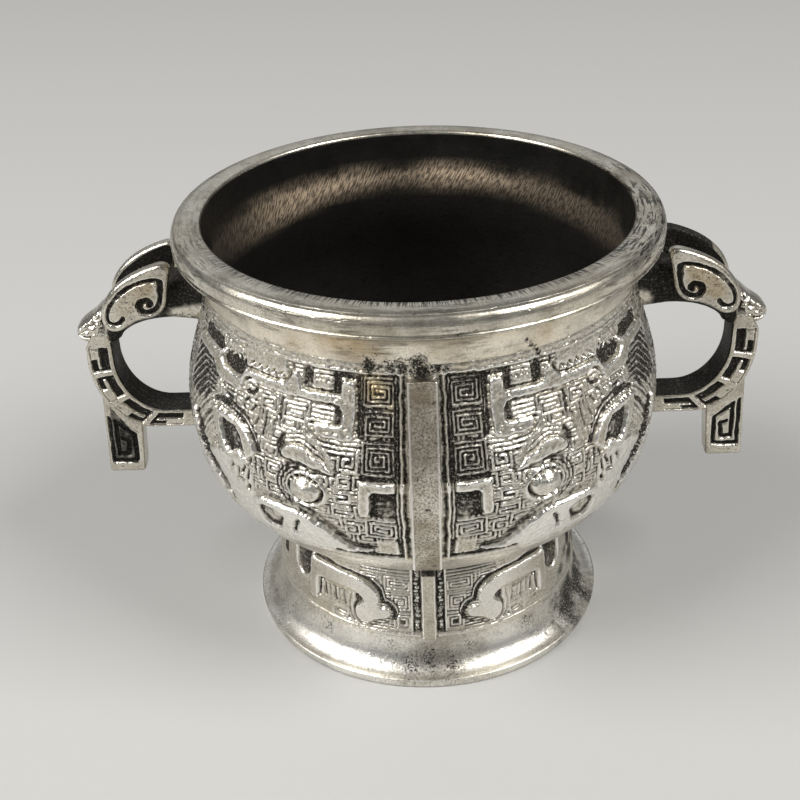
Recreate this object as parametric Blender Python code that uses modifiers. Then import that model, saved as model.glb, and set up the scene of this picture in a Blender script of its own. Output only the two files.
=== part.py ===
# A small cast cup in the form of an old food vessel: a round-bellied bowl with a heavy lip on a
# flaring ring foot, upright flanges front and rear, and two beast-head handles. Each handle has a
# head that springs from the neck, a pair of leaf-shaped ears, a loop that runs from the jaw back
# to the belly, and a tab that hangs under the loop.
# Metres, +Z up, origin on the table under the centre of the foot, handles along X, front at -Y.

import bpy
import bmesh
from math import cos, hypot, pi, radians, sin

MM = 0.001

# Joints between castings
SEAT_GAP = 0.3 * MM            # brazing gap between two pieces that seat on each other
TURN_STEPS = 48                # facets round the turned pieces
WELD = 0.001 * MM              # points closer than this are one point
SPAN_LEAST = 1.5 * MM          # least step next to the ends of a seat that follows the wall

# Ring foot
FOOT_HEIGHT = 19.2 * MM        # table to the underside of the bowl
FOOT_RADIUS = 25.0 * MM        # widest, at the table
FOOT_EDGE = 1.3 * MM           # upright edge at the table
FOOT_RIM = 2.0 * MM            # flat ring that stands on the table
FOOT_FLARE_Z = 6.0 * MM        # where the flare starts
FOOT_WAIST_RADIUS = 21.7 * MM  # at the start of the flare
FOOT_TOP_RADIUS = 20.6 * MM    # under the bowl
FOOT_WALL = 1.9 * MM

# Bowl
BASE_OVERHANG = 0.1 * MM       # bowl's underside past the foot
BELLY_RISE = 16.3 * MM         # underside to the widest point
BELLY_RADIUS = 32.1 * MM
NECK_RISE = 17.5 * MM          # widest point to the neck
NECK_RADIUS = 28.7 * MM
SHOULDER_FULLNESS = 0.4        # how far the shoulder holds the belly's and the neck's width
COVE_RISE = 4.2 * MM           # neck to the underside of the lip
LIP_RADIUS = 32.0 * MM
LIP_THICKNESS = 3.3 * MM
LIP_ROUND = 0.5 * MM           # rounding of the lip's outer edges
LIP_DISH = 0.2 * MM            # fall of the lip's top towards the mouth
MOUTH_RADIUS = 28.0 * MM
BOWL_WALL = 1.6 * MM
BOWL_FLOOR = 2.0 * MM
SPIGOT_DEPTH = 0.8 * MM        # raised disc that centres the bowl in the foot

# Flanges
FLANGE_WIDTH = 3.6 * MM
FLANGE_PROUD = 1.0 * MM
FLANGE_BELOW_NECK = 1.8 * MM   # top end below the neck
FLANGE_ABOVE_FOOT = 2.1 * MM   # bottom end above the underside
FOOT_FLANGE_WIDTH = 2.1 * MM
FOOT_FLANGE_PROUD = 0.7 * MM
FOOT_FLANGE_DROP = 0.4 * MM    # top end below the foot's top
FLANGE_ROUND = 0.2 * MM

# Handle loop
LOOP_STANDOFF = 13.5 * MM      # belly to the loop's outer side
LOOP_FLOOR_DROP = 6.2 * MM     # loop's underside below the belly's widest point
LOOP_BEND_WIDTH = 8.1 * MM     # half axes of the outer bend
LOOP_BEND_HEIGHT = 10.7 * MM
LOOP_HOLLOW_WIDTH = 6.6 * MM   # half axis of the inner bend
LOOP_SIDE = 3.7 * MM           # thickness at the outer side
LOOP_FLOOR = 2.8 * MM          # thickness along the bottom
LOOP_WIDTH = 5.0 * MM
LOOP_ROUND = 0.5 * MM

# Beast head
JAW_RISE = 6.7 * MM            # jaw seat above the belly's widest point
HEAD_ROOT_ABOVE = 1.0 * MM     # root's reach above and below the neck
HEAD_ROOT_BELOW = 7.8 * MM
ARCH_SPAN = 6.9 * MM           # half axes of the arch over the finger gap
ARCH_RISE = 3.8 * MM
JAW_DEPTH = 1.1 * MM           # jaw's reach into the finger gap past the loop
SNOUT_REACH = 1.1 * MM         # muzzle past the loop
SNOUT_TIP_REACH = 0.5 * MM     # top of the snout past the loop
SNOUT_RISE = 3.1 * MM          # jaw seat to the top of the snout
SNOUT_SWELL = 1.8 * MM         # pull of the muzzle's curve past the loop, at the lip
FACE_RISE = 5.2 * MM           # jaw seat to the brow
BROW_SETBACK = 2.2 * MM
CROWN_RISE = 7.6 * MM          # jaw seat to the crown
CROWN_SETBACK = 6.6 * MM
HEAD_WIDTH = 5.0 * MM
MUZZLE_WIDTH = 3.8 * MM
HEAD_ROUND = 0.7 * MM          # rounding of the head's edges
EYE_RADIUS = 0.95 * MM
EYE_SETBACK = 2.2 * MM         # eye behind the loop's outer side
EYE_RISE = 3.7 * MM            # eye above the jaw seat
NOSTRIL_RADIUS = 0.6 * MM
NOSTRIL_REACH = 0.4 * MM       # nostril past the loop
NOSTRIL_RISE = 1.9 * MM

# Ears
EAR_LENGTH = 9.7 * MM          # blunt end back to the inner edge
EAR_HEIGHT = 9.6 * MM          # lowest point to the tip
EAR_THICKNESS = 1.8 * MM
EAR_ROUND = 0.4 * MM           # rounding of the ear's edges
EAR_SETBACK = 3.4 * MM         # blunt end behind the loop's outer side
EAR_BASE_RISE = 3.2 * MM       # lowest point above the jaw seat
EAR_RIM = 1.0 * MM             # raised border round the sunk field
EAR_SINK = 0.35 * MM

# Hanging tab
TAB_WIDTH = 5.1 * MM
TAB_DROP = 7.9 * MM            # below the loop's underside
TAB_SPLAY = 0.6 * MM           # outward lean from the loop to the bottom
TAB_THICKNESS = 3.2 * MM
TAB_SETBACK = 1.0 * MM         # outer side behind the loop's outer side
TAB_ROUND = 0.3 * MM

# Heights and reaches that follow from the sizes above
BASE_RADIUS = FOOT_TOP_RADIUS + BASE_OVERHANG
FOOT_BORE = FOOT_TOP_RADIUS - FOOT_WALL
BELLY_Z = FOOT_HEIGHT + BELLY_RISE
NECK_Z = BELLY_Z + NECK_RISE
LIP_Z = NECK_Z + COVE_RISE
HEIGHT = LIP_Z + LIP_THICKNESS
LOOP_REACH = BELLY_RADIUS + LOOP_STANDOFF
LOOP_INNER = LOOP_REACH - LOOP_SIDE
LOOP_FLOOR_Z = BELLY_Z - LOOP_FLOOR_DROP
BEND_CENTRE = (LOOP_REACH - LOOP_BEND_WIDTH, LOOP_FLOOR_Z + LOOP_BEND_HEIGHT)
JAW_Z = BELLY_Z + JAW_RISE

SILVER = (0.72, 0.68, 0.60, 1.0)
WORN_SILVER = (0.80, 0.77, 0.70, 1.0)
DARK_SILVER = (0.52, 0.48, 0.42, 1.0)


def clear_scene():
    for old in list(bpy.data.objects):
        bpy.data.objects.remove(old, do_unlink=True)


def new_collection(name):
    collection = bpy.data.collections.new(name)
    bpy.context.scene.collection.children.link(collection)
    return collection


def metal(name, colour, roughness):
    material = bpy.data.materials.new(name)
    material.use_nodes = True
    shader = material.node_tree.nodes["Principled BSDF"]
    shader.inputs["Base Color"].default_value = colour
    shader.inputs["Metallic"].default_value = 1.0
    shader.inputs["Roughness"].default_value = roughness
    return material


# Outlines are lists of (radius, height) in the half plane through the axis

def arc(centre, half_axes, start, end, steps):
    """Points on an ellipse from one angle to another, in degrees."""
    turn = [radians(start + (end - start) * i / steps) for i in range(steps + 1)]
    return [(centre[0] + half_axes[0] * cos(t), centre[1] + half_axes[1] * sin(t)) for t in turn]


def bezier(p0, p1, p2, p3, steps):
    points = []
    for i in range(steps + 1):
        t = i / steps
        w = ((1 - t) ** 3, 3 * t * (1 - t) ** 2, 3 * t * t * (1 - t), t ** 3)
        corners = zip(p0, p1, p2, p3)
        points.append(tuple(sum(share * at for share, at in zip(w, corner)) for corner in corners))
    return points


def offset(path, distance):
    """A path that runs down an outer side, moved outwards along its normals."""
    moved = []
    for i, (r, z) in enumerate(path):
        before = path[max(i - 1, 0)]
        after = path[min(i + 1, len(path) - 1)]
        dr, dz = after[0] - before[0], after[1] - before[1]
        length = hypot(dr, dz)
        moved.append((r - distance * dz / length, z + distance * dr / length))
    return moved


def drawn_in(outline, inset):
    """A closed outline, run anticlockwise, with each corner moved inwards along its bisector."""
    def heading(a, b):
        length = hypot(b[0] - a[0], b[1] - a[1])
        return (b[0] - a[0]) / length, (b[1] - a[1]) / length
    moved = []
    for i, (u, z) in enumerate(outline):
        before = heading(outline[i - 1], (u, z))
        after = heading((u, z), outline[(i + 1) % len(outline)])
        du, dz = before[0] + after[0], before[1] + after[1]
        square = du * du + dz * dz
        moved.append((u - 2 * inset * dz / square, z + 2 * inset * du / square))
    return moved


def span(path, top, bottom):
    """The stretch of a falling path between two heights."""
    def at(height):
        for (r0, z0), (r1, z1) in zip(path, path[1:]):
            if z0 >= height >= z1:
                return r0 + (r1 - r0) * (z0 - height) / max(z0 - z1, 1e-9), height
    inner = [p for p in path if bottom + SPAN_LEAST < p[1] < top - SPAN_LEAST]
    return [at(top)] + inner + [at(bottom)]


def shoulder(inset, steps):
    """Neck down to the widest point, as an S-curve upright at both ends."""
    neck, belly = NECK_RADIUS - inset, BELLY_RADIUS - inset
    pull = SHOULDER_FULLNESS * NECK_RISE
    return bezier((neck, NECK_Z), (neck, NECK_Z - pull), (belly, BELLY_Z + pull), (belly, BELLY_Z), steps)


def bowl_outside():
    """Outer wall from the underside of the lip down to the seat on the foot."""
    cove_edge = LIP_RADIUS - LIP_ROUND
    cove = arc((cove_edge, NECK_Z), (cove_edge - NECK_RADIUS, COVE_RISE), 90, 180, 5)
    belly = arc((BASE_RADIUS, BELLY_Z), (BELLY_RADIUS - BASE_RADIUS, BELLY_RISE), 0, -90, 9)
    return cove[:-1] + shoulder(0, 8)[:-1] + belly


def bowl_inside():
    """Inner wall from the mouth down to the middle of the floor."""
    neck = NECK_RADIUS - BOWL_WALL
    rim_z = HEIGHT - LIP_DISH
    mouth = bezier((MOUTH_RADIUS, rim_z), (MOUTH_RADIUS - LIP_DISH, rim_z - LIP_THICKNESS),
                   (neck, NECK_Z + COVE_RISE / 2), (neck, NECK_Z), 3)
    half_axes = (BELLY_RADIUS - BOWL_WALL - BASE_RADIUS, BELLY_RISE - BOWL_FLOOR)
    belly = arc((BASE_RADIUS, BELLY_Z), half_axes, 0, -90, 6)
    return mouth[:-1] + shoulder(BOWL_WALL, 6)[:-1] + belly + [(0, FOOT_HEIGHT + BOWL_FLOOR)]


def bowl_profile():
    lip = [(LIP_RADIUS - 2 * LIP_ROUND, HEIGHT), (LIP_RADIUS - LIP_ROUND, HEIGHT - LIP_ROUND / 2),
           (LIP_RADIUS, HEIGHT - LIP_ROUND), (LIP_RADIUS, LIP_Z + LIP_ROUND)]
    spigot = FOOT_BORE - SEAT_GAP
    spigot_z = FOOT_HEIGHT - SPIGOT_DEPTH
    underside = [(spigot, FOOT_HEIGHT), (spigot, spigot_z), (0, spigot_z)]
    return list(reversed(bowl_inside())) + lip + bowl_outside() + underside


def foot_outside():
    """Outer side of the foot from the seat down to the end of the flare."""
    flare = arc((FOOT_RADIUS, FOOT_FLARE_Z), (FOOT_RADIUS - FOOT_WAIST_RADIUS, FOOT_FLARE_Z - FOOT_EDGE),
                180, 270, 6)
    return [(FOOT_TOP_RADIUS, FOOT_HEIGHT - SEAT_GAP)] + flare


def foot_profile():
    rim = FOOT_RADIUS - FOOT_RIM
    inside = arc((rim, FOOT_FLARE_Z), (rim - FOOT_WAIST_RADIUS + FOOT_WALL, FOOT_FLARE_Z), 270, 180, 5)
    return foot_outside() + [(FOOT_RADIUS, 0)] + inside + [(FOOT_BORE, FOOT_HEIGHT - SEAT_GAP)]


def bowl_flange_outline():
    top, bottom = NECK_Z - FLANGE_BELOW_NECK, FOOT_HEIGHT + FLANGE_ABOVE_FOOT
    wall = span(bowl_outside(), top, bottom)
    return offset(wall, SEAT_GAP + FLANGE_PROUD) + offset(wall, SEAT_GAP)[::-1]


def foot_flange_outline():
    wall = span(foot_outside(), FOOT_HEIGHT - SEAT_GAP - FOOT_FLANGE_DROP, FOOT_FLARE_Z)
    return offset(wall, SEAT_GAP + FOOT_FLANGE_PROUD) + offset(wall, SEAT_GAP)[::-1]


def loop_outline():
    half_axes = (LOOP_BEND_WIDTH, LOOP_BEND_HEIGHT)
    outer = arc(BEND_CENTRE, half_axes, 0, -90, 10)
    hollow_centre = (LOOP_INNER - LOOP_HOLLOW_WIDTH, BEND_CENTRE[1])
    inner = arc(hollow_centre, (LOOP_HOLLOW_WIDTH, LOOP_BEND_HEIGHT - LOOP_FLOOR), -90, 0, 9)
    root = offset(span(bowl_outside(), LOOP_FLOOR_Z + LOOP_FLOOR, LOOP_FLOOR_Z), SEAT_GAP)
    seat = JAW_Z - SEAT_GAP
    return [(LOOP_REACH, seat)] + outer + root[::-1] + inner + [(LOOP_INNER, seat)]


def tab_outline():
    outer_side = LOOP_REACH - TAB_SETBACK
    bottom = LOOP_FLOOR_Z - TAB_DROP
    half_axes = (LOOP_BEND_WIDTH + SEAT_GAP, LOOP_BEND_HEIGHT + SEAT_GAP)

    def under_loop(u):
        share = (u - BEND_CENTRE[0]) / half_axes[0]
        return u, BEND_CENTRE[1] - half_axes[1] * (1 - share * share) ** 0.5
    steps = 6
    top = [under_loop(outer_side - TAB_WIDTH * i / steps) for i in range(steps + 1)]
    low_side = outer_side + TAB_SPLAY
    return top + [(low_side - TAB_WIDTH, bottom), (low_side, bottom)]


def head_outline():
    root = offset(span(bowl_outside(), NECK_Z + HEAD_ROOT_ABOVE, NECK_Z - HEAD_ROOT_BELOW), SEAT_GAP)
    arch_end = LOOP_INNER - JAW_DEPTH
    arch = arc((arch_end - ARCH_SPAN, JAW_Z), (ARCH_SPAN, ARCH_RISE), 100, 12, 8)
    brow = (LOOP_REACH - BROW_SETBACK, JAW_Z + FACE_RISE)
    nose = (LOOP_REACH + SNOUT_TIP_REACH, JAW_Z + SNOUT_RISE)
    muzzle = bezier((LOOP_REACH, JAW_Z), (LOOP_REACH + SNOUT_SWELL, JAW_Z),
                    (LOOP_REACH + SNOUT_REACH, nose[1]), nose, 6)
    crown = (LOOP_REACH - CROWN_SETBACK, JAW_Z + CROWN_RISE)
    steep = (brow[0], (brow[1] + crown[1]) / 2)
    level = ((brow[0] + crown[0]) / 2, crown[1])
    forehead = bezier(brow, steep, level, crown, 4)
    return root + arch + [(LOOP_INNER, JAW_Z)] + muzzle + forehead


def ear_outline(inset):
    """A leaf with a blunt outer end, a tip under the lip and a rounded heel, as shares of its box."""
    edges = (((0.0, 0.20), (0.0, 0.55), (0.36, 0.86), (0.84, 0.99)),
             ((0.84, 0.99), (0.95, 1.02), (1.03, 0.97), (1.0, 0.86)),
             ((1.0, 0.86), (0.97, 0.73), (0.94, 0.6), (0.92, 0.47)),
             ((0.92, 0.47), (0.89, 0.31), (0.79, 0.21), (0.64, 0.19)),
             ((0.64, 0.19), (0.43, 0.17), (0.33, 0.03), (0.19, 0.0)),
             ((0.19, 0.0), (0.06, -0.02), (0.0, 0.08), (0.0, 0.20)))
    length, height = EAR_LENGTH - 2 * inset, EAR_HEIGHT - 2 * inset
    outer, low = LOOP_REACH - EAR_SETBACK - inset, JAW_Z + EAR_BASE_RISE + inset
    leaf = [point for edge in edges for point in bezier(*edge, 4)[:-1]]
    return [(outer - back * length, low + rise * height) for back, rise in leaf]


# Solids

def turned(name, profile, closed, collection, material):
    """A profile spun about the vertical axis."""
    mesh = bpy.data.meshes.new(name)
    edges = [(i, i + 1) for i in range(len(profile) - 1)]
    if closed:
        edges.append((len(profile) - 1, 0))
    mesh.from_pydata([(r, 0, z) for r, z in profile], edges, [])
    solid = bpy.data.objects.new(name, mesh)
    collection.objects.link(solid)
    screw = solid.modifiers.new("turn", "SCREW")
    screw.steps = screw.render_steps = TURN_STEPS
    screw.use_merge_vertices = True
    screw.merge_threshold = WELD
    screw.use_smooth_shade = True
    mesh.materials.append(material)
    return solid


def plate(name, outline, thickness, rounding, collection, material):
    """An outline in the half plane through the axis, given a thickness across it."""
    curve = bpy.data.curves.new(name, "CURVE")
    curve.dimensions = "2D"
    curve.fill_mode = "BOTH"
    curve.extrude = thickness / 2
    spline = curve.splines.new("POLY")
    spline.points.add(len(outline) - 1)
    for point, (u, z) in zip(spline.points, outline):
        point.co = (u, z, 0, 1)
    spline.use_cyclic_u = True
    curve.materials.append(material)
    solid = bpy.data.objects.new(name, curve)
    solid.rotation_euler = (pi / 2, 0, 0)
    collection.objects.link(solid)
    weld = solid.modifiers.new("weld caps", "WELD")
    weld.merge_threshold = WELD
    if rounding:
        bevel = solid.modifiers.new("round edges", "BEVEL")
        bevel.width = rounding
        bevel.segments = 2
        bevel.limit_method = "ANGLE"
        bevel.angle_limit = radians(60)
    return solid


def rounded_slab(name, outline, thickness, rounding, collection, material):
    """A loft across the half plane: the full outline in the middle, drawn in round both edges."""
    quarter = [radians(a) for a in (90, 60, 30, 0)]
    flat = thickness / 2 - rounding
    layers = [(-flat - rounding * sin(t), rounding * (1 - cos(t))) for t in quarter]
    layers += [(-across, inset) for across, inset in reversed(layers)]
    made = bmesh.new()
    rings = []
    for across, inset in layers:
        rings.append([made.verts.new((u, across, z)) for u, z in drawn_in(outline, inset)])
    for ring, following in zip(rings, rings[1:]):
        for i in range(len(ring)):
            made.faces.new((ring[i - 1], ring[i], following[i], following[i - 1]))
    caps = [made.faces.new(rings[0]), made.faces.new(rings[-1])]
    bmesh.ops.triangulate(made, faces=caps)
    bmesh.ops.recalc_face_normals(made, faces=made.faces)
    mesh = bpy.data.meshes.new(name)
    made.to_mesh(mesh)
    made.free()
    mesh.materials.append(material)
    solid = bpy.data.objects.new(name, mesh)
    collection.objects.link(solid)
    return solid


def as_mesh(solid):
    """The same object with its curve and modifiers turned into a closed mesh in place."""
    bpy.context.view_layer.update()
    evaluated = solid.evaluated_get(bpy.context.evaluated_depsgraph_get())
    mesh = bpy.data.meshes.new_from_object(evaluated)
    made = bmesh.new()
    made.from_mesh(mesh)
    bmesh.ops.remove_doubles(made, verts=made.verts, dist=WELD)
    made.transform(solid.matrix_world)
    made.to_mesh(mesh)
    made.free()
    name, collections = solid.name, list(solid.users_collection)
    bpy.data.objects.remove(solid, do_unlink=True)
    solid = bpy.data.objects.new(name, mesh)
    for collection in collections:
        collection.objects.link(solid)
    return solid


def boolean(solid, cutter, operation):
    cut = solid.modifiers.new(cutter.name, "BOOLEAN")
    cut.operation = operation
    cut.object = cutter
    cut.solver = "EXACT"


def hide_cutter(cutter):
    cutter.hide_render = True
    cutter.display_type = "WIRE"


def bead(name, radius, place, collection):
    mesh = bpy.data.meshes.new(name)
    ball = bmesh.new()
    bmesh.ops.create_uvsphere(ball, u_segments=12, v_segments=8, radius=radius)
    ball.to_mesh(mesh)
    ball.free()
    solid = bpy.data.objects.new(name, mesh)
    solid.location = place
    collection.objects.link(solid)
    hide_cutter(solid)
    return solid


def half_width(u):
    """Half the head's width: full back to the brow, narrowing to the muzzle."""
    brow = LOOP_REACH - CROWN_SETBACK
    share = min(max((u - brow) / (LOOP_REACH + SNOUT_REACH - brow), 0), 1)
    return (HEAD_WIDTH + (MUZZLE_WIDTH - HEAD_WIDTH) * share) / 2


def beast_head(name, collection, cutters, material):
    head = rounded_slab(name, head_outline(), HEAD_WIDTH, HEAD_ROUND, collection, material)
    for vertex in head.data.vertices:
        vertex.co.y *= 2 * half_width(vertex.co.x) / HEAD_WIDTH
    eye_u = LOOP_REACH - EYE_SETBACK
    nostril_u = LOOP_REACH + NOSTRIL_REACH
    for side, word in ((-1, "front"), (1, "rear")):
        eye = bead(f"{name}_eye_{word}", EYE_RADIUS,
                   (eye_u, side * half_width(eye_u), JAW_Z + EYE_RISE), cutters)
        nostril = bead(f"{name}_nostril_{word}", NOSTRIL_RADIUS,
                       (nostril_u, side * half_width(nostril_u), JAW_Z + NOSTRIL_RISE), cutters)
        boolean(head, eye, "UNION")
        boolean(head, nostril, "UNION")
    return as_mesh(head)


def ear(name, side, collection, cutters, material):
    """A leaf plate on one side of the head, with its outer field sunk inside a rim."""
    middle = side * (HEAD_WIDTH / 2 + SEAT_GAP + EAR_THICKNESS / 2)
    leaf = rounded_slab(name, ear_outline(0), EAR_THICKNESS, EAR_ROUND, collection, material)
    leaf.location.y = middle
    field = plate(f"{name}_field", ear_outline(EAR_RIM), EAR_THICKNESS, 0, cutters, material)
    field.location.y = middle + side * (EAR_THICKNESS - EAR_SINK)
    leaf, field = as_mesh(leaf), as_mesh(field)
    hide_cutter(field)
    boolean(leaf, field, "DIFFERENCE")
    return as_mesh(leaf)


def handle_side(label, turn, shapes, collection):
    """One handle: its pieces hang on an empty at the axis, turned to that side of the bowl."""
    root = bpy.data.objects.new(f"{label}_handle", None)
    root.rotation_euler.z = turn
    collection.objects.link(root)
    for word, mesh in shapes.items():
        piece = bpy.data.objects.new(f"{label}_{word}", mesh)
        piece.parent = root
        collection.objects.link(piece)


def build():
    clear_scene()
    cup = new_collection("beast_handled_cup")
    cutters = new_collection("cutters")
    body_metal = metal("vessel silver", SILVER, 0.35)
    foot_metal = metal("foot silver", WORN_SILVER, 0.28)
    flange_metal = metal("flange silver", WORN_SILVER, 0.32)
    handle_metal = metal("handle silver", SILVER, 0.38)
    ear_metal = metal("ear silver", DARK_SILVER, 0.36)

    turned("bowl", bowl_profile(), False, cup, body_metal)
    turned("ring_foot", foot_profile(), True, cup, foot_metal)

    for word, turn in (("front", -pi / 2), ("rear", pi / 2)):
        strip = plate(f"bowl_flange_{word}", bowl_flange_outline(), FLANGE_WIDTH, FLANGE_ROUND, cup,
                      flange_metal)
        strip.rotation_euler.z = turn
        rib = plate(f"foot_flange_{word}", foot_flange_outline(), FOOT_FLANGE_WIDTH, FLANGE_ROUND, cup,
                    flange_metal)
        rib.rotation_euler.z = turn

    loop = as_mesh(plate("loop", loop_outline(), LOOP_WIDTH, LOOP_ROUND, cup, handle_metal))
    tab = as_mesh(plate("tab", tab_outline(), TAB_THICKNESS, TAB_ROUND, cup, handle_metal))
    head = beast_head("head", cup, cutters, handle_metal)
    near_ear = ear("near_ear", -1, cup, cutters, ear_metal)
    far_ear = ear("far_ear", 1, cup, cutters, ear_metal)
    patterns = (loop, tab, head, near_ear, far_ear)
    loop, tab, head, near_ear, far_ear = (pattern.data for pattern in patterns)
    for pattern in patterns:
        bpy.data.objects.remove(pattern, do_unlink=True)
    fixed = {"handle_loop": loop, "beast_head": head, "hanging_tab": tab}
    handle_side("right", 0, {**fixed, "ear_front": near_ear, "ear_rear": far_ear}, cup)
    handle_side("left", pi, {**fixed, "ear_front": far_ear, "ear_rear": near_ear}, cup)

    for solid in cup.objects:
        if solid.type == "MESH" and not solid.modifiers:
            solid.data.shade_smooth()
            solid.data.set_sharp_from_angle(angle=radians(35))


build()
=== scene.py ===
# Beast-handled cup: worn cast silver with black oxide in the relief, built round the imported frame
import bpy
import numpy as np
from mathutils import Matrix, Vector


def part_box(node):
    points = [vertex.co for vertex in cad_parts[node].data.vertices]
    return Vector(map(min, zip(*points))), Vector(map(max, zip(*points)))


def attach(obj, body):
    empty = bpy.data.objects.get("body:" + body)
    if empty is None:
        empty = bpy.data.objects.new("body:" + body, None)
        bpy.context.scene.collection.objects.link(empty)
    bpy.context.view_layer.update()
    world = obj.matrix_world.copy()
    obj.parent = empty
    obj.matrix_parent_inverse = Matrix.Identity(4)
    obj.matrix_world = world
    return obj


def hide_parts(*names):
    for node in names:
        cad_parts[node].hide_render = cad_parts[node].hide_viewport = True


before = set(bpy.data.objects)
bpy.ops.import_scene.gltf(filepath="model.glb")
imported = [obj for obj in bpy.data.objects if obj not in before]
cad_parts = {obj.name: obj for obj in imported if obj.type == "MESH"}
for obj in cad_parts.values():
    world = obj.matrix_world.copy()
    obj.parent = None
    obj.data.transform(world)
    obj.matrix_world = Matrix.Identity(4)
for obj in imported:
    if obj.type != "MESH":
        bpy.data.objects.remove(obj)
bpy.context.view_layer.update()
mm = 0.001
dice = np.random.default_rng(11)


def boxMm(node):  # lowest and highest corner of a CAD node, in millimetres
    low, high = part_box(node)
    return np.array(low) / mm, np.array(high) / mm


bowlHigh = boxMm("bowl")[1]
footHigh = boxMm("ring_foot")[1]
print("frame loaded:", len(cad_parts), "nodes")

# Camera at the photograph's angle: degrees below level, turned and tilted
view = {"place": (0.0, -163.6, 127.8), "pitch": 30.6, "yaw": -1.12, "roll": -2.27, "lens": 60.75,
        "sensor": 36.0, "near": 0.01, "far": 20.0}


def posed(side, up, ahead, place):  # a frame from its right, up and forward directions and its place
    return Matrix([[side[i], up[i], -ahead[i], place[i]] for i in range(3)] + [[0, 0, 0, 1]])


def aimCamera():
    pitch, yaw, roll = np.radians([view["pitch"], view["yaw"], view["roll"]])
    ahead = np.array([np.sin(yaw) * np.cos(pitch), np.cos(yaw) * np.cos(pitch), -np.sin(pitch)])
    level = np.array([np.cos(yaw), -np.sin(yaw), 0.0])
    upright = np.cross(level, ahead)
    across = np.cos(roll) * level + np.sin(roll) * upright
    up = np.cos(roll) * upright - np.sin(roll) * level
    camera = bpy.data.objects.new("camera", bpy.data.cameras.new("camera"))
    camera.data.lens = view["lens"]
    camera.data.sensor_width = view["sensor"]
    camera.data.clip_start, camera.data.clip_end = view["near"], view["far"]
    camera.matrix_world = posed(across, up, ahead, np.array(view["place"]) * mm)
    bpy.context.scene.collection.objects.link(camera)
    bpy.context.scene.camera = camera


aimCamera()


# Curves in the half plane through the axis, as (radius, height) arrays in millimetres
def ellipseArc(centre, half, start, end, count):  # centre plus half axes times cosine and sine
    turn = np.radians(np.linspace(start, end, count + 1))
    return np.stack([centre[0] + half[0] * np.cos(turn), centre[1] + half[1] * np.sin(turn)], -1)


def bezierCurve(points, count):  # the cubic Bernstein sum of four points
    t = np.linspace(0, 1, count + 1)[:, None]
    p = np.asarray(points, float)
    return (1 - t) ** 3 * p[0] + 3 * t * (1 - t) ** 2 * p[1] + 3 * t * t * (1 - t) * p[2] + t ** 3 * p[3]


# Catmull-Rom: a cubic through every point, tangent to its neighbours
def flowing(points, closed=False, each=6):
    p = np.asarray(points, float)
    if closed:
        p = np.concatenate([p[-1:], p, p[:2]])
    else:
        p = np.concatenate([2 * p[:1] - p[1:2], p, 2 * p[-1:] - p[-2:-1]])
    t = np.linspace(0, 1, each, endpoint=False)[:, None, None]
    a, b, c, d = p[:-3], p[1:-2], p[2:-1], p[3:]
    square, cube = 2 * a - 5 * b + 4 * c - d, 3 * b - a - 3 * c + d
    run = 0.5 * (2 * b + (c - a) * t + square * t ** 2 + cube * t ** 3)
    run = run.transpose(1, 0, 2).reshape(-1, p.shape[1])
    return run if closed else np.concatenate([run, p[-2:-1]])


def arcLength(path):
    return np.r_[0, np.cumsum(np.linalg.norm(np.diff(path, axis=0), axis=1))]


def pointsAt(path, run, places):  # points of a path at given arc lengths
    return np.stack([np.interp(places, run, path[:, k]) for k in range(path.shape[1])], -1)


def evenly(path, count):  # the same path in equal steps
    run = arcLength(path)
    return pointsAt(path, run, np.linspace(0, run[-1], count))


def ease(value, soft):  # 0 below minus half the soft width, 1 above plus half, smooth between
    t = np.clip(value / soft + 0.5, 0, 1)
    return t * t * (3 - 2 * t)


def wallOf(path, start):  # a falling outer side with arc length counted from a height
    run = arcLength(path)
    run -= np.interp(-start, -path[:, 1], run)
    return {"path": path, "run": run}


def onWall(wall, s):  # radius, height and outward normal at arc length s
    step = 0.25
    here, behind, beyond = (pointsAt(wall["path"], wall["run"], s + shift) for shift in (0, -step, step))
    along, down = (beyond - behind).T
    size = np.hypot(along, down)
    return here[:, 0], here[:, 1], -down / size, along / size


def wallLine(wall, start, end, count, off=0.0):  # points between two arc lengths, moved out along the normal
    r, z, nr, nz = onWall(wall, np.linspace(start, end, count))
    return np.stack([r + off * nr, z + off * nz], -1)


def gridQuads(rows, cols, first=0, wrapCols=False, wrapRows=False):  # four corners of every cell, row by row
    i = np.arange(rows if wrapRows else rows - 1)[:, None]
    j = np.arange(cols if wrapCols else cols - 1)[None]
    up, along = (i + 1) % rows, (j + 1) % cols
    return first + np.stack([i * cols + j, i * cols + along, up * cols + along, up * cols + j],
                            -1).reshape(-1, 4)


def zipped(fine, coarse):  # triangles between two runs of points with unlike counts
    steps = len(fine) - 1
    share = np.floor((np.arange(steps) + 0.5) * (len(coarse) - 1) / steps + 0.5).astype(int)
    first = np.stack([fine[:-1], fine[1:], coarse[share]], -1)
    turn = np.searchsorted(share, np.arange(1, len(coarse)))
    second = np.stack([coarse[1:], coarse[:-1], fine[turn]], -1)
    return np.concatenate([first, second])


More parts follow.
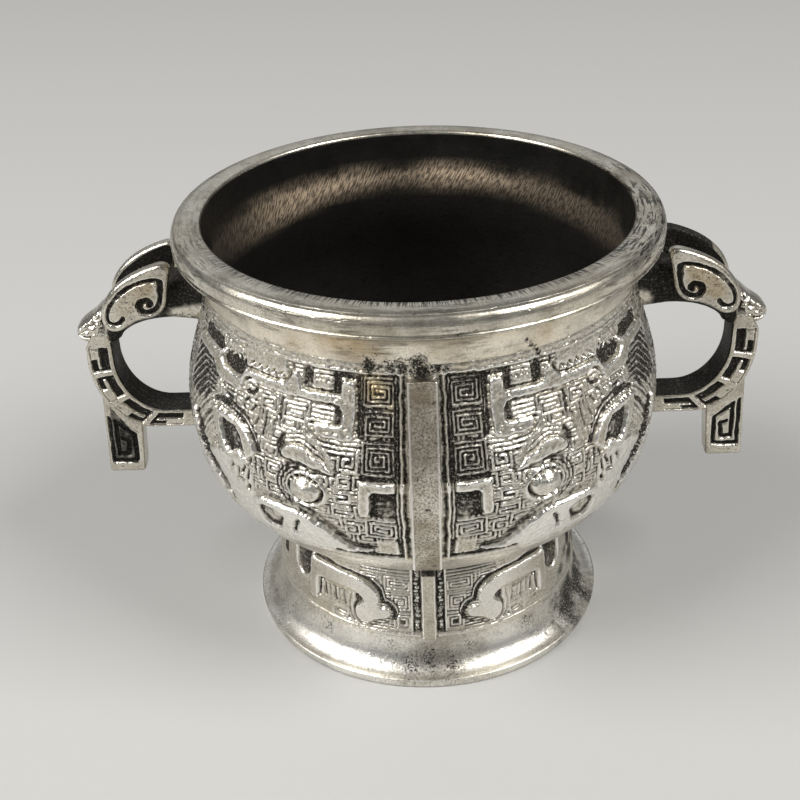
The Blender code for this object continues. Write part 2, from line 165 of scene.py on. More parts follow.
def makePiece(name, points, faces, stands, materials, masks, faceMaterial=None):
    # points in millimetres; faces is a list of index arrays of three or four columns
    mesh = bpy.data.meshes.new(name)
    corners = np.concatenate([f.ravel() for f in faces]).astype(np.int32)
    sizes = np.concatenate([np.full(len(f), f.shape[1]) for f in faces]).astype(np.int32)
    mesh.vertices.add(len(points))
    mesh.vertices.foreach_set("co", (np.asarray(points) * mm).astype(np.float32).ravel())
    mesh.loops.add(len(corners))
    mesh.loops.foreach_set("vertex_index", corners)
    mesh.polygons.add(len(sizes))
    mesh.polygons.foreach_set("loop_start", np.r_[0, np.cumsum(sizes)[:-1]].astype(np.int32))
    mesh.polygons.foreach_set("loop_total", sizes)
    mesh.polygons.foreach_set("use_smooth", np.ones(len(sizes), bool))
    for material in materials:
        mesh.materials.append(material)
    if faceMaterial is not None:
        mesh.polygons.foreach_set("material_index", faceMaterial.astype(np.int32))
    mesh.update(calc_edges=True)
    for word, values in masks.items():
        values = values.astype(np.float32).ravel()
        mesh.attributes.new(word, "FLOAT", "POINT").data.foreach_set("value", values)
    mesh.validate()
    piece = bpy.data.objects.new(name, mesh)
    bpy.context.scene.collection.objects.link(piece)
    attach(piece, "root")
    if stands:
        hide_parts(*stands)


def turnedPoints(path, count):  # every profile point carried round the axis in equal angles
    turn = np.linspace(0, 2 * np.pi, count, endpoint=False)
    r, z = path[:, 0][:, None], path[:, 1][:, None]
    return np.stack([r * np.cos(turn), r * np.sin(turn), np.broadcast_to(z, (len(path), count))], -1)


def facing(points, faces):  # turns every face round if the closed surface is inside out
    halves = [f[:, :3] for f in faces] + [f[:, [0, 2, 3]] for f in faces if f.shape[1] == 4]
    triangles = np.concatenate(halves)
    a, b, c = (points[triangles[:, k]] for k in range(3))
    volume = np.einsum("ij,ij->i", a, np.cross(b, c)).sum()
    return faces if volume > 0 else [f[:, ::-1] for f in faces]


# rings closed round, with a fan to one point at each end: the ring's middle if none is given
def closedTube(rings, ends=None):
    rows, cols = rings.shape[:2]
    ends = [rings[0].mean(0), rings[-1].mean(0)] if ends is None else ends
    points = np.concatenate([rings.reshape(-1, 3), ends])
    j = np.arange(cols)
    after, tip, last = (j + 1) % cols, np.full(cols, rows * cols), (rows - 1) * cols
    fans = [np.stack([tip, after, j], -1), np.stack([tip + 1, last + j, last + after], -1)]
    return points, facing(points, [gridQuads(rows, cols, wrapCols=True), *fans])


# Relief: a height over a sheet measured in millimetres, worked up with outlines and strokes
def newSheet(x, y, level):
    return {"x": x, "y": y, "h": np.full((len(y), len(x)), float(level))}


def patch(sheet, path, reach):  # the part of the sheet near a path
    low, high = path.min(0) - reach, path.max(0) + reach
    cols = slice(*np.searchsorted(sheet["x"], [low[0], high[0]]))
    rows = slice(*np.searchsorted(sheet["y"], [low[1], high[1]]))
    return rows, cols, *np.meshgrid(sheet["x"][cols], sheet["y"][rows])


def awayFrom(path, x, y, closed):  # least distance to the path's straight steps
    least = np.full(x.shape, 1e9)
    for (ax, ay), (bx, by) in zip(path if closed else path[:-1], np.roll(path, -1, 0)):
        dx, dy = bx - ax, by - ay
        t = np.clip(((x - ax) * dx + (y - ay) * dy) / max(dx * dx + dy * dy, 1e-12), 0, 1)
        np.minimum(least, np.hypot(x - ax - t * dx, y - ay - t * dy), out=least)
    return least


def within(path, x, y):  # odd number of crossings of a ray
    odd = np.zeros(x.shape, bool)
    for (ax, ay), (bx, by) in zip(path, np.roll(path, -1, 0)):
        if ay != by:
            odd ^= ((ay > y) != (by > y)) & (x < (bx - ax) * (y - ay) / (by - ay) + ax)
    return odd


def press(sheet, outline, level, edge=0.22, share=1.0):  # inside the outline the height moves to a level
    rows, cols, x, y = patch(sheet, outline, edge)
    if x.size:
        depth = awayFrom(outline, x, y, True)
        t = share * ease(np.where(within(outline, x, y), depth, -depth), edge)
        sheet["h"][rows, cols] += t * (level - sheet["h"][rows, cols])


def stroke(sheet, path, width, level, edge=0.13):  # a line of one width at a level
    rows, cols, x, y = patch(sheet, path, width / 2 + edge)
    if x.size:
        t = ease(width / 2 - awayFrom(path, x, y, False), edge)
        sheet["h"][rows, cols] += t * (level - sheet["h"][rows, cols])


# a dome: height falls with a power of the distance in half axes
def boss(sheet, centre, half, rise, power=2.0):
    path = np.array([np.subtract(centre, half), np.add(centre, half)])
    rows, cols, x, y = patch(sheet, path, 0.1)
    away = np.hypot((x - centre[0]) / half[0], (y - centre[1]) / half[1])
    dome = rise * np.clip(1 - away ** power, 0, None)
    sheet["h"][rows, cols] = np.maximum(sheet["h"][rows, cols], np.where(away < 1, dome, -9))


def spiralPath(x0, x1, y0, y1, pitch, hand):  # a squared spiral that steps in by a pitch each lap
    points = [(x0, y0)]
    while x1 - x0 > 0.7 * pitch and y1 - y0 > 0.7 * pitch:
        points += [(x1, y0), (x1, y1), (x0, y1), (x0, y0 + pitch)]
        x0, x1, y0, y1 = x0 + pitch, x1 - pitch, y0 + pitch, y1 - pitch
        points.append((x0, y0))
    if x1 - x0 > 0.3 * pitch:
        points.append((x1, y0))
    points = np.array(points)
    if hand < 0:
        points[:, 0] = points[:, 0].max() + points[:, 0].min() - points[:, 0]
    return points


def rectangle(x0, x1, y0, y1):
    return np.array([(x0, y0), (x1, y0), (x1, y1), (x0, y1)])


def thunder(sheet, corners, hand, level, pitch, width):  # one squared-spiral cell of the ground pattern
    (x0, y0), (x1, y1) = corners
    stroke(sheet, spiralPath(x0, x1, y0, y1, pitch, hand), width, level)


def nest(sheet, corners, hand, level, ground, pitch, width):  # clears a cell and draws its squared spiral
    (x0, y0), (x1, y1) = corners
    rim = 0.2
    press(sheet, rectangle(x0 - rim, x1 + rim, y0 - rim, y1 + rim), ground, 0.12)
    thunder(sheet, corners, hand, level, pitch, width)


def soften(height, reach):  # box mean over a square, by running sums in both directions
    for axis in (0, 1):
        padded = np.concatenate([np.repeat(np.take(height, [0], axis), reach + 1, axis), height,
                                 np.repeat(np.take(height, [-1], axis), reach, axis)], axis)
        total = np.cumsum(padded, axis)
        n = height.shape[axis]
        upper = np.take(total, np.arange(2 * reach + 1, 2 * reach + 1 + n), axis)
        height = (upper - np.take(total, np.arange(n), axis)) / (2 * reach + 1)
    return height


def castUneven(x, y, cell, size):  # seeded random heights on a coarse lattice, blended smoothly between
    gx, gy = x / cell - x.min() / cell, y / cell - y.min() / cell
    lattice = dice.normal(0, size, (int(gy.max()) + 3, int(gx.max()) + 3))
    ix, iy = gx.astype(int), gy.astype(int)
    fx, fy = gx - ix, gy - iy
    fx, fy = (fx * fx * (3 - 2 * fx))[None], (fy * fy * (3 - 2 * fy))[:, None]
    top = lattice[np.ix_(iy, ix)] * (1 - fx) + lattice[np.ix_(iy, ix + 1)] * fx
    low = lattice[np.ix_(iy + 1, ix)] * (1 - fx) + lattice[np.ix_(iy + 1, ix + 1)] * fx
    return top * (1 - fy) + low * fy


def sampled(sheet, word, x, y):  # a sheet's values at any places, blended from the four nearest points
    def steps(places, line):
        return np.clip(np.interp(places, line, np.arange(len(line))), 0, len(line) - 1.001)
    gx, gy = steps(x, sheet["x"]), steps(y, sheet["y"])
    ix, iy = gx.astype(int), gy.astype(int)
    fx, fy, v = gx - ix, gy - iy, sheet[word]
    top = v[iy, ix] * (1 - fx) + v[iy, ix + 1] * fx
    return top * (1 - fy) + (v[iy + 1, ix] * (1 - fx) + v[iy + 1, ix + 1] * fx) * fy


def wobbled(sheet, cell, size):  # every line is pulled about a little, as in a worn mould
    x, y = np.meshgrid(sheet["x"], sheet["y"])
    pull = [castUneven(sheet["x"], sheet["y"], cell, size) for _ in range(2)]
    sheet["h"] = sampled(sheet, "h", x + pull[0], y + pull[1])


# each spot (degrees, height, reach, share) is full in its middle and nothing a little past its reach
def fading(x, y, spots, perDegree):
    past = 1.15
    mask = np.zeros(np.broadcast(x, y).shape)
    for turn, spotY, reach, share in spots:
        away = np.hypot(x - turn * perDegree, y - spotY)
        mask = np.maximum(mask, share * np.clip(past - away / reach, 0, 1))
    return mask


# unevenness of every casting, and steps to an edge
cast = {"grainCell": 0.35, "waveCell": 1.6, "wearReach": 4}


def finishSheet(sheet, levels):  # recess and wear masks from the height, after the casting's own unevenness
    x, y = sheet["x"], sheet["y"]
    grain = castUneven(x, y, cast["grainCell"], levels["grain"])
    sheet["h"] += grain + castUneven(x, y, cast["waveCell"], levels["wave"])
    h = sheet["h"]
    sheet["recess"] = np.clip((levels["clean"] - h) / (levels["clean"] - levels["ground"]), 0, 1)
    sheet["wearAndSheen"] = np.clip((h - soften(h, cast["wearReach"])) / levels["edge"], 0, 1)


def shellSector(wall, sheet, turn, depth):
    # outer grid off the wall by the sheet's height, a coarse back a depth inside, and zipped rims
    rows, cols = sheet["h"].shape
    backRows, backCols = 15, 25

    def placed(s, turn, off):
        r, z, nr, nz = (value[:, None] for value in onWall(wall, s))
        radius = r + off * nr
        return np.stack([radius * np.cos(turn), radius * np.sin(turn), z + off * nz], -1).reshape(-1, 3)
    front = placed(sheet["y"], turn, sheet["h"])
    back = placed(np.linspace(sheet["y"][0], sheet["y"][-1], backRows),
                  np.linspace(turn[0], turn[-1], backCols), np.full((backRows, backCols), -depth))
    points = np.concatenate([front, back])
    fine = np.arange(rows * cols).reshape(rows, cols)
    coarse = fine.size + np.arange(backRows * backCols).reshape(backRows, backCols)
    rims = [zipped(fine[0], coarse[0]), zipped(fine[-1, ::-1], coarse[-1, ::-1]),
            zipped(fine[::-1, 0], coarse[::-1, 0]), zipped(fine[:, -1], coarse[:, -1])]
    faces = [gridQuads(rows, cols)[:, ::-1], gridQuads(backRows, backCols, fine.size), np.concatenate(rims)]
    blank = np.zeros(len(back))
    masks = {word: np.concatenate([sheet[word].ravel(), blank])
             for word in ("recess", "wearAndSheen", "stain", "soil") if word in sheet}
    return points, facing(points, faces), masks


# Shader groups shared by the finishes
def newGroup(name, values, outputs):  # a place and plain values go in, masks and heights come out
    group = bpy.data.node_groups.new(name, "ShaderNodeTree")
    group.interface.new_socket("Vector", in_out="INPUT", socket_type="NodeSocketVector")
    for word, start in values.items():
        group.interface.new_socket(word, in_out="INPUT", socket_type="NodeSocketFloat").default_value = start
    for word in outputs:
        group.interface.new_socket(word, in_out="OUTPUT", socket_type="NodeSocketFloat")
    return group, group.nodes.new("NodeGroupInput"), group.nodes.new("NodeGroupOutput")


def noiseNode(tree, vector, scale, detail, rough=0.55):
    node = tree.nodes.new("ShaderNodeTexNoise")
    node.inputs["Scale"].default_value = scale
    node.inputs["Detail"].default_value = detail
    node.inputs["Roughness"].default_value = rough
    tree.links.new(vector, node.inputs["Vector"])
    return node.outputs["Fac"]


def fill(tree, socket, value):  # a colour or a number is set on the socket, anything else is linked to it
    if isinstance(value, tuple):
        socket.default_value = (*value, 1.0)
    elif isinstance(value, (int, float)):
        socket.default_value = value
    else:
        tree.links.new(value, socket)


def mathNode(tree, operation, first, second, clamp=False):
    node = tree.nodes.new("ShaderNodeMath")
    node.operation = operation
    node.use_clamp = clamp
    fill(tree, node.inputs[0], first)
    fill(tree, node.inputs[1], second)
    return node.outputs[0]


def times(tree, first, second):
    return mathNode(tree, "MULTIPLY", first, second)


def plus(tree, first, second):
    return mathNode(tree, "ADD", first, second)


def rangeNode(tree, value, low, high, toLow=0.0, toHigh=1.0):
    node = tree.nodes.new("ShaderNodeMapRange")
    node.interpolation_type = "SMOOTHSTEP"
    for word, number in (("From Min", low), ("From Max", high), ("To Min", toLow), ("To Max", toHigh)):
        node.inputs[word].default_value = number
    tree.links.new(value, node.inputs["Value"])
    return node.outputs["Result"]


def blendNode(tree, share, first, second):
    node = tree.nodes.new("ShaderNodeMix")
    node.data_type = "RGBA"
    for socket, value in ((node.inputs["Factor"], share), (node.inputs[6], first), (node.inputs[7], second)):
        fill(tree, socket, value)
    return node.outputs[2]


# rows of output, place, noise scale, detail and roughness, and the range kept
def noisyMasks(group, outside, table):
    for word, place, scale, detail, rough, low, high in table:
        noise = noiseNode(group, place, scale, detail, rough)
        group.links.new(rangeNode(group, noise, low, high), outside.inputs[word])


def sandGroup():  # cast skin: fine sandy height, salt-and-pepper grain, pits that hold dirt, and wide clouds
    group, inside, outside = newGroup("sandSkin", {}, ("Height", "Grain", "Pits", "Cloud"))
    place = inside.outputs["Vector"]
    fine, coarse = noiseNode(group, place, 4200, 3), noiseNode(group, place, 1500, 4, 0.6)
    group.links.new(plus(group, times(group, fine, 0.5), times(group, coarse, 0.8)), outside.inputs["Height"])
    noisyMasks(group, outside, (("Grain", place, 3600, 3, 0.75, 0.40, 0.66),
                                ("Pits", place, 800, 5, 0.7, 0.60, 0.70),
                                ("Cloud", place, 110, 5, 0.62, 0.36, 0.66)))
    return group


def oxideGroup():  # black wash held by the recesses, broken up by noise, with bare specks in it
    values = {"Recess": 0.0, "Strength": 1.0, "Soil": 0.0, "Glint": 0.0}
    group, inside, outside = newGroup("blackWash", values, ("Mask",))
    place = inside.outputs["Vector"]

    def centred(noise, spread):
        return times(group, mathNode(group, "SUBTRACT", noise, 0.5), spread)
    rough = centred(noiseNode(group, place, 1300, 4, 0.65), 0.55)
    wide = centred(noiseNode(group, place, 130, 3), 0.7)
    level = plus(group, inside.outputs["Recess"], plus(group, rough, wide))
    paintedShade = plus(group, noiseNode(group, place, 3400, 5, 0.78), times(group, inside.outputs["Soil"], 0.3))
    mask = mathNode(group, "MAXIMUM", rangeNode(group, level, 0.42, 0.92), rangeNode(group, paintedShade, 0.67, 0.79))
    specks = times(group, rangeNode(group, noiseNode(group, place, 4300, 2, 0.6), 0.55, 0.66),
                   inside.outputs["Glint"])
    mask = times(group, mask, mathNode(group, "SUBTRACT", 1.0, specks))
    mask = mathNode(group, "MULTIPLY", mask, inside.outputs["Strength"], True)
    group.links.new(mask, outside.inputs["Mask"])
    return group


def brushGroup():  # turning lines round the axis, radial tool marks at the mouth, smudges and stray scratches
    masks = ("Height", "Streak", "Chatter", "Smudge", "Scratch", "Hatch")
    group, inside, outside = newGroup("polishLines", {}, masks)
    place = inside.outputs["Vector"]
    split = group.nodes.new("ShaderNodeSeparateXYZ")
    group.links.new(place, split.inputs[0])
    x, y, z = split.outputs
    turn = mathNode(group, "ARCTAN2", y, x)
    radius = mathNode(group, "SQRT", plus(group, times(group, x, x), times(group, y, y)), 0.0)

    def joined(**parts):
        node = group.nodes.new("ShaderNodeCombineXYZ")
        for word, value in parts.items():
            group.links.new(value, node.inputs[word])
        return node.outputs[0]

    def turned(along, out):  # angle, radius and height, drawn out along the angle or the radius
        return joined(X=times(group, turn, along), Y=times(group, radius, out), Z=times(group, z, out))
    slanted = joined(X=plus(group, times(group, turn, 0.028), times(group, z, 0.5)), Z=times(group, z, 0.22))
    group.links.new(noiseNode(group, turned(0.004, 1.0), 2600, 3, 0.6), outside.inputs["Height"])
    mouth = times(group, rangeNode(group, radius, 0.0288, 0.0303, 1.0, 0.0),
                  rangeNode(group, y, -0.019, -0.004, 1.0, 0.1))
    chatter = rangeNode(group, noiseNode(group, turned(0.055, 0.1), 3200, 2, 0.6), 0.48, 0.55)
    # on the near side of the mouth's edge
    group.links.new(times(group, chatter, mouth), outside.inputs["Chatter"])
    noisyMasks(group, outside, (("Streak", turned(0.006, 1.0), 900, 4, 0.65, 0.54, 0.68),
                                ("Smudge", place, 170, 5, 0.65, 0.44, 0.68),
                                ("Scratch", turned(0.012, 1.0), 1500, 1, 0.5, 0.66, 0.72),
                                ("Hatch", slanted, 3700, 2, 0.6, 0.42, 0.58)))
    return group


groups = {"sand": sandGroup(), "wash": oxideGroup(), "brush": brushGroup()}


skin = {"specular": 0.12, "bump": 0.1, "bumpStrength": 0.6, "wornGloss": 0.08, "stainCloud": 0.6,
        "stainLeast": 0.4, "markRange": (0.5, 0.58)}  # the same in every finish, bump in millimetres


# one worn silver: clean colour, dirt colour, gloss, and how much of each effect
def silverFinish(name, look):
    material = bpy.data.materials.new(name)
    material.use_nodes = True
    tree = material.node_tree
    shader = tree.nodes["Principled BSDF"]
    place = tree.nodes.new("ShaderNodeTexCoord").outputs["Object"]

    def effect(word):
        node = tree.nodes.new("ShaderNodeGroup")
        node.node_tree = groups[word]
        tree.links.new(place, node.inputs["Vector"])
        return node

    def painted(word):
        node = tree.nodes.new("ShaderNodeAttribute")
        node.attribute_name = word
        return node.outputs["Fac"]

    def some(mask, word):  # a mask times the amount that this finish has of it
        return times(tree, mask, look[word])
    sand, wash, brush = effect("sand").outputs, effect("wash"), effect("brush").outputs
    wearAndSheen, stain = painted("wearAndSheen"), painted("stain")
    for word, value in (("Recess", painted("recess")), ("Soil", painted("soil")),
                        ("Strength", look["wash"]), ("Glint", look["glint"])):
        fill(tree, wash.inputs[word], value)
    black = wash.outputs["Mask"]
    cloudy = plus(tree, times(tree, sand["Cloud"], skin["stainCloud"]), skin["stainLeast"])
    patchy = times(tree, stain, cloudy)
    # rubbed bright metal, together with the painted highlights and sheen that the same masks carry
    wornAndLitLayer = times(tree, wearAndSheen, mathNode(tree, "SUBTRACT", 1.0, some(brush["Hatch"], "hatch")))
    marked = times(tree, rangeNode(tree, brush["Height"], *skin["markRange"]), painted("marks"))
    layers = ((sand["Cloud"], "tarnish", "tarnished"), (brush["Smudge"], "smudge", "smudged"),
              (brush["Streak"], "streak", "smudged"), (sand["Grain"], "grain", "speck"),
              (brush["Chatter"], "chatter", "nicked"), (marked, "marks", "nicked"),
              (sand["Pits"], "pits", "oxide"), (wornAndLitLayer, "wearAndSheen", "bright"), (patchy, "stain", "stained"))
    colour = look["silver"]
    for mask, amount, over in layers:  # each layer covers the last by its mask times its amount
        if look[amount] > 0:
            colour = blendNode(tree, some(mask, amount), colour, look[over])
    tree.links.new(blendNode(tree, black, colour, look["oxide"]), shader.inputs["Base Color"])
    # the black is a crust, not bare metal
    metal = mathNode(tree, "SUBTRACT", look["metal"], some(black, "dull"), True)
    tree.links.new(metal, shader.inputs["Metallic"])
    shader.inputs["Specular IOR Level"].default_value = skin["specular"]
    rough = plus(tree, some(black, "washRough"), some(sand["Cloud"], "roughSpread"))
    rough = plus(tree, rough, look["rough"])
    rough = mathNode(tree, "SUBTRACT", rough, times(tree, wearAndSheen, skin["wornGloss"]), True)
    tree.links.new(rough, shader.inputs["Roughness"])
    height = plus(tree, some(sand["Height"], "sand"), some(brush["Height"], "brush"))
    height = mathNode(tree, "SUBTRACT", height, some(brush["Scratch"], "scratch"))
    bump = tree.nodes.new("ShaderNodeBump")
    bump.inputs["Distance"].default_value = skin["bump"] * mm
    bump.inputs["Strength"].default_value = skin["bumpStrength"]
    tree.links.new(height, bump.inputs["Height"])
    tree.links.new(bump.outputs["Normal"], shader.inputs["Normal"])
    return material


plainLook = {"silver": (0.80, 0.765, 0.67), "tarnished": (0.54, 0.48, 0.37), "tarnish": 0.55,
             "smudged": (0.26, 0.23, 0.18), "smudge": 0.2, "streak": 0.0, "speck": (0.20, 0.175, 0.135),
             "grain": 0.6, "stained": (0.42, 0.29, 0.13), "stain": 0.85, "nicked": (0.045, 0.04, 0.03),
             "chatter": 0.0, "hatch": 0.0, "marks": 0.0, "oxide": (0.012, 0.010, 0.008), "pits": 0.5,
             "bright": (0.95, 0.93, 0.88), "wearAndSheen": 0.9, "wash": 0.98, "glint": 0.5, "metal": 1.0,
             "dull": 0.9, "washRough": 0.3, "rough": 0.29, "roughSpread": 0.1, "sand": 0.9,
             "brush": 0.0, "scratch": 0.0}
# the inside's bright colour is its rubbed band with a painted sheen
darkLook = {"silver": (0.030, 0.028, 0.025), "tarnished": (0.036, 0.032, 0.028),
            "smudged": (0.02, 0.018, 0.016), "stained": (0.008, 0.008, 0.007), "stain": 1.0, "pits": 0.7,
            "bright": (0.95, 0.75, 0.54), "oxide": (0.008, 0.008, 0.007),
            "speck": (0.014, 0.013, 0.012), "metal": 0.35}
looks = {
    "relief": ("reliefSilver", {"stained": (0.60, 0.45, 0.20), "sand": 1.4, "wearAndSheen": 1.0}),
    "strap": ("strapSilver", {
        "silver": (0.95, 0.91, 0.82), "tarnished": (0.38, 0.33, 0.25), "tarnish": 1.0, "pits": 0.9,
        "grain": 1.0, "stained": (0.30, 0.24, 0.17), "rough": 0.33, "sand": 2.0}),
    "lip": ("lipSilver", {
        "sand": 0.3, "brush": 0.7, "scratch": 0.3, "rough": 0.26, "streak": 0.6, "smudge": 0.55, "pits": 0.4,
        "grain": 0.35, "chatter": 0.95, "marks": 0.95}),
    "neck": ("neckSilver", {
        "silver": (0.96, 0.90, 0.78), "tarnished": (0.80, 0.67, 0.48), "tarnish": 0.36, "rough": 0.33,
        "streak": 0.7, "smudge": 0.35, "grain": 0.28, "stain": 0.8, "marks": 0.75}),
    "base": ("polishedFoot", {
        "silver": (0.96, 0.94, 0.88), "stained": (0.07, 0.065, 0.055), "sand": 1.1, "brush": 0.2,
        "rough": 0.30, "smudge": 0.5, "tarnish": 0.4, "grain": 0.5, "pits": 0.65}),
    "inside": ("darkInside", {
        **darkLook, "rough": 0.42, "sand": 1.6, "streak": 0.4, "smudge": 0.5, "hatch": 0.75, "glint": 0.0,
        "wearAndSheen": 1.0}),
    "handle": ("handleSilver", {
        "oxide": (0.005, 0.0045, 0.004), "rough": 0.23, "sand": 1.1, "grain": 0.5, "smudge": 0.4,
        "glint": 0.15})}
finishes = {word: silverFinish(name, {**plainLook, **own}) for word, (name, own) in looks.items()}
print("finishes made:", len(finishes))

# Bowl: one turned body for the inside, lip, neck and underside, with four relief sectors round the belly
bowl = {"belly": bowlHigh[0], "top": bowlHigh[2], "seat": footHigh[2] + 0.3, "bellyRise": 16.3, "base": 20.7,
        "neck": 28.7, "neckRise": 17.5, "fullness": 0.4, "coveRise": 4.2, "lip": 32.0, "mouth": 28.0,
        "wall": 1.6, "floor": 2.0, "spigot": 18.4, "sunk": 0.9, "steps": 288, "clear": 0.012}
bellyZ = bowl["seat"] + bowl["bellyRise"]
neckZ = bellyZ + bowl["neckRise"]
lipZ = neckZ + bowl["coveRise"]


def shoulderCurve(inset, count):
    pull = bowl["fullness"] * bowl["neckRise"]
    neck, belly = bowl["neck"] - inset, bowl["belly"] - inset
    return bezierCurve([(neck, neckZ), (neck, neckZ - pull), (belly, bellyZ + pull), (belly, bellyZ)], count)


def bowlOutside():  # cove under the lip, S-shaped shoulder, quarter ellipse to the underside
    edge = bowl["lip"] - 0.5
    cove = ellipseArc((edge, neckZ), (edge - bowl["neck"], bowl["coveRise"]), 90, 180, 24)
    belly = ellipseArc((bowl["base"], bellyZ), (bowl["belly"] - bowl["base"], bowl["bellyRise"]), 0, -90, 90)
    return np.concatenate([cove[:-1], shoulderCurve(0, 90)[:-1], belly])


bowlWall = wallOf(bowlOutside(), neckZ)
quarters = (("FrontRight", -90, 1), ("FrontLeft", -90, -1), ("RearRight", 90, -1), ("RearLeft", 90, 1))
crease = {"radius": 31.08, "half": 0.1, "depth": 0.4, "share": 0.55}  # dark line round the top of the lip
panel = {"top": -0.4, "bottom": 29.4, "degreeMm": 0.56, "rows": 222, "fineTo": 60.0, "fineCols": 318,
         "cols": 430, "overlap": 0.2, "soilFill": 0.5}


# one panel on every quarter, mirrored at the flanges
def reliefSectors(name, wall, depth, degrees, sheetFor):
    for word, middle, sense in quarters:
        turn = np.radians(middle + sense * degrees)
        points, faces, masks = shellSector(wall, sheetFor(word), turn, depth)
        makePiece(name + word, points, faces, [], [finishes["relief"]], masks)


# marks on the neck and lip: degrees round, height, reach, share
neckSoil = {
    "stain": (
        (-106, 54.4, 3.4, 1.0), (-110, 54.9, 2.6, 0.9), (-101, 54.0, 2.2, 0.8), (-84, 54.3, 2.6, 0.5),
        (-60, 54.6, 2.0, 0.6), (-122, 54.2, 2.2, 0.5)),
    "soil": (
        (-90.8, 53.0, 1.7, 1.2), (-95, 52.8, 1.3, 1.1), (-98, 52.9, 0.9, 0.9), (-102.2, 52.8, 1.1, 1.3),
        (-106, 54.5, 1.2, 0.7), (-100, 54.0, 1.0, 0.7), (-103, 53.6, 0.9, 0.8), (-88, 54.5, 0.45, 1.1),
        (-82, 57.8, 1.0, 0.7), (-79, 58.2, 0.7, 0.7), (-86, 56.9, 0.5, 0.7), (-89, 56.8, 0.4, 0.7),
        (-65.2, 54.1, 0.5, 1.3), (-64.3, 53.7, 0.5, 1.3), (-63.4, 53.2, 0.6, 1.4),
        (-62.8, 52.8, 0.5, 1.4), (-158, 57.6, 2.6, 1.0), (-149, 57.0, 2.2, 0.95), (-141, 56.4, 1.7, 0.9),
        (-166, 58.8, 2.2, 0.8), (-134, 55.6, 1.2, 0.6), (-24, 60.0, 2.6, 0.62), (-8, 60.1, 2.6, 0.6),
        (8, 60.1, 2.2, 0.55), (-36, 59.8, 2.0, 0.55), (0, 60.2, 2.4, 0.7), (-16, 60.2, 2.2, 0.7),
        (-172, 60.2, 1.6, 0.4), (-22, 57.0, 2.0, 0.6)),
    "marks": (
        (-160, 58.6, 3.6, 1.0), (-148, 57.8, 3.4, 1.0), (-138, 57.0, 2.6, 0.8), (-128, 56.2, 2.2, 0.6),
        (-172, 60.0, 3.0, 0.35), (-30, 60.2, 5.0, 1.0), (-12, 60.2, 5.0, 1.0), (6, 60.2, 4.6, 1.0),
        (20, 60.2, 3.6, 0.9), (-21, 60.2, 4.4, 1.0), (-3, 60.2, 4.4, 1.0), (-46, 58.6, 3.0, 0.6),
        (-22, 57.6, 3.4, 0.9), (-62, 57.8, 3.0, 0.45), (-104, 58.6, 3.6, 0.5), (-84, 58.8, 3.6, 0.5),
        (-118, 58.8, 3.0, 0.5), (-74, 60.2, 3.0, 0.4), (-108, 54.6, 2.6, 0.8), (-98, 54.8, 2.0, 0.6),
        (-78, 54.8, 2.4, 0.5))}


# inside, degrees round the axis: how bright the rubbed band with its painted sheen is and how deep it reaches
# below the lip, then the depth and softness of its edges and of the black over it
rubbedSheen = {
    "turn": (-180, -60, 0, 20, 48, 58, 68, 76, 83, 90, 97, 105, 115, 132, 142, 153, 166, 180),
    "share": (0.1, 0.1, 0.1, 0.16, 0.26, 0.42, 0.8, 1.0, 1.0, 0.55, 0.5, 0.75, 1.0, 1.0, 0.6,
              0.22, 0.1, 0.1),
    "low": (9, 8, 9, 10, 9, 8, 7.6, 7.6, 7.8, 7.6, 7.4, 7.6, 8, 9.4, 10, 10.6, 10, 9),
    "start": (4.8, 2.2), "end": (0.2, 3.4), "black": (5.9, 1.6)}


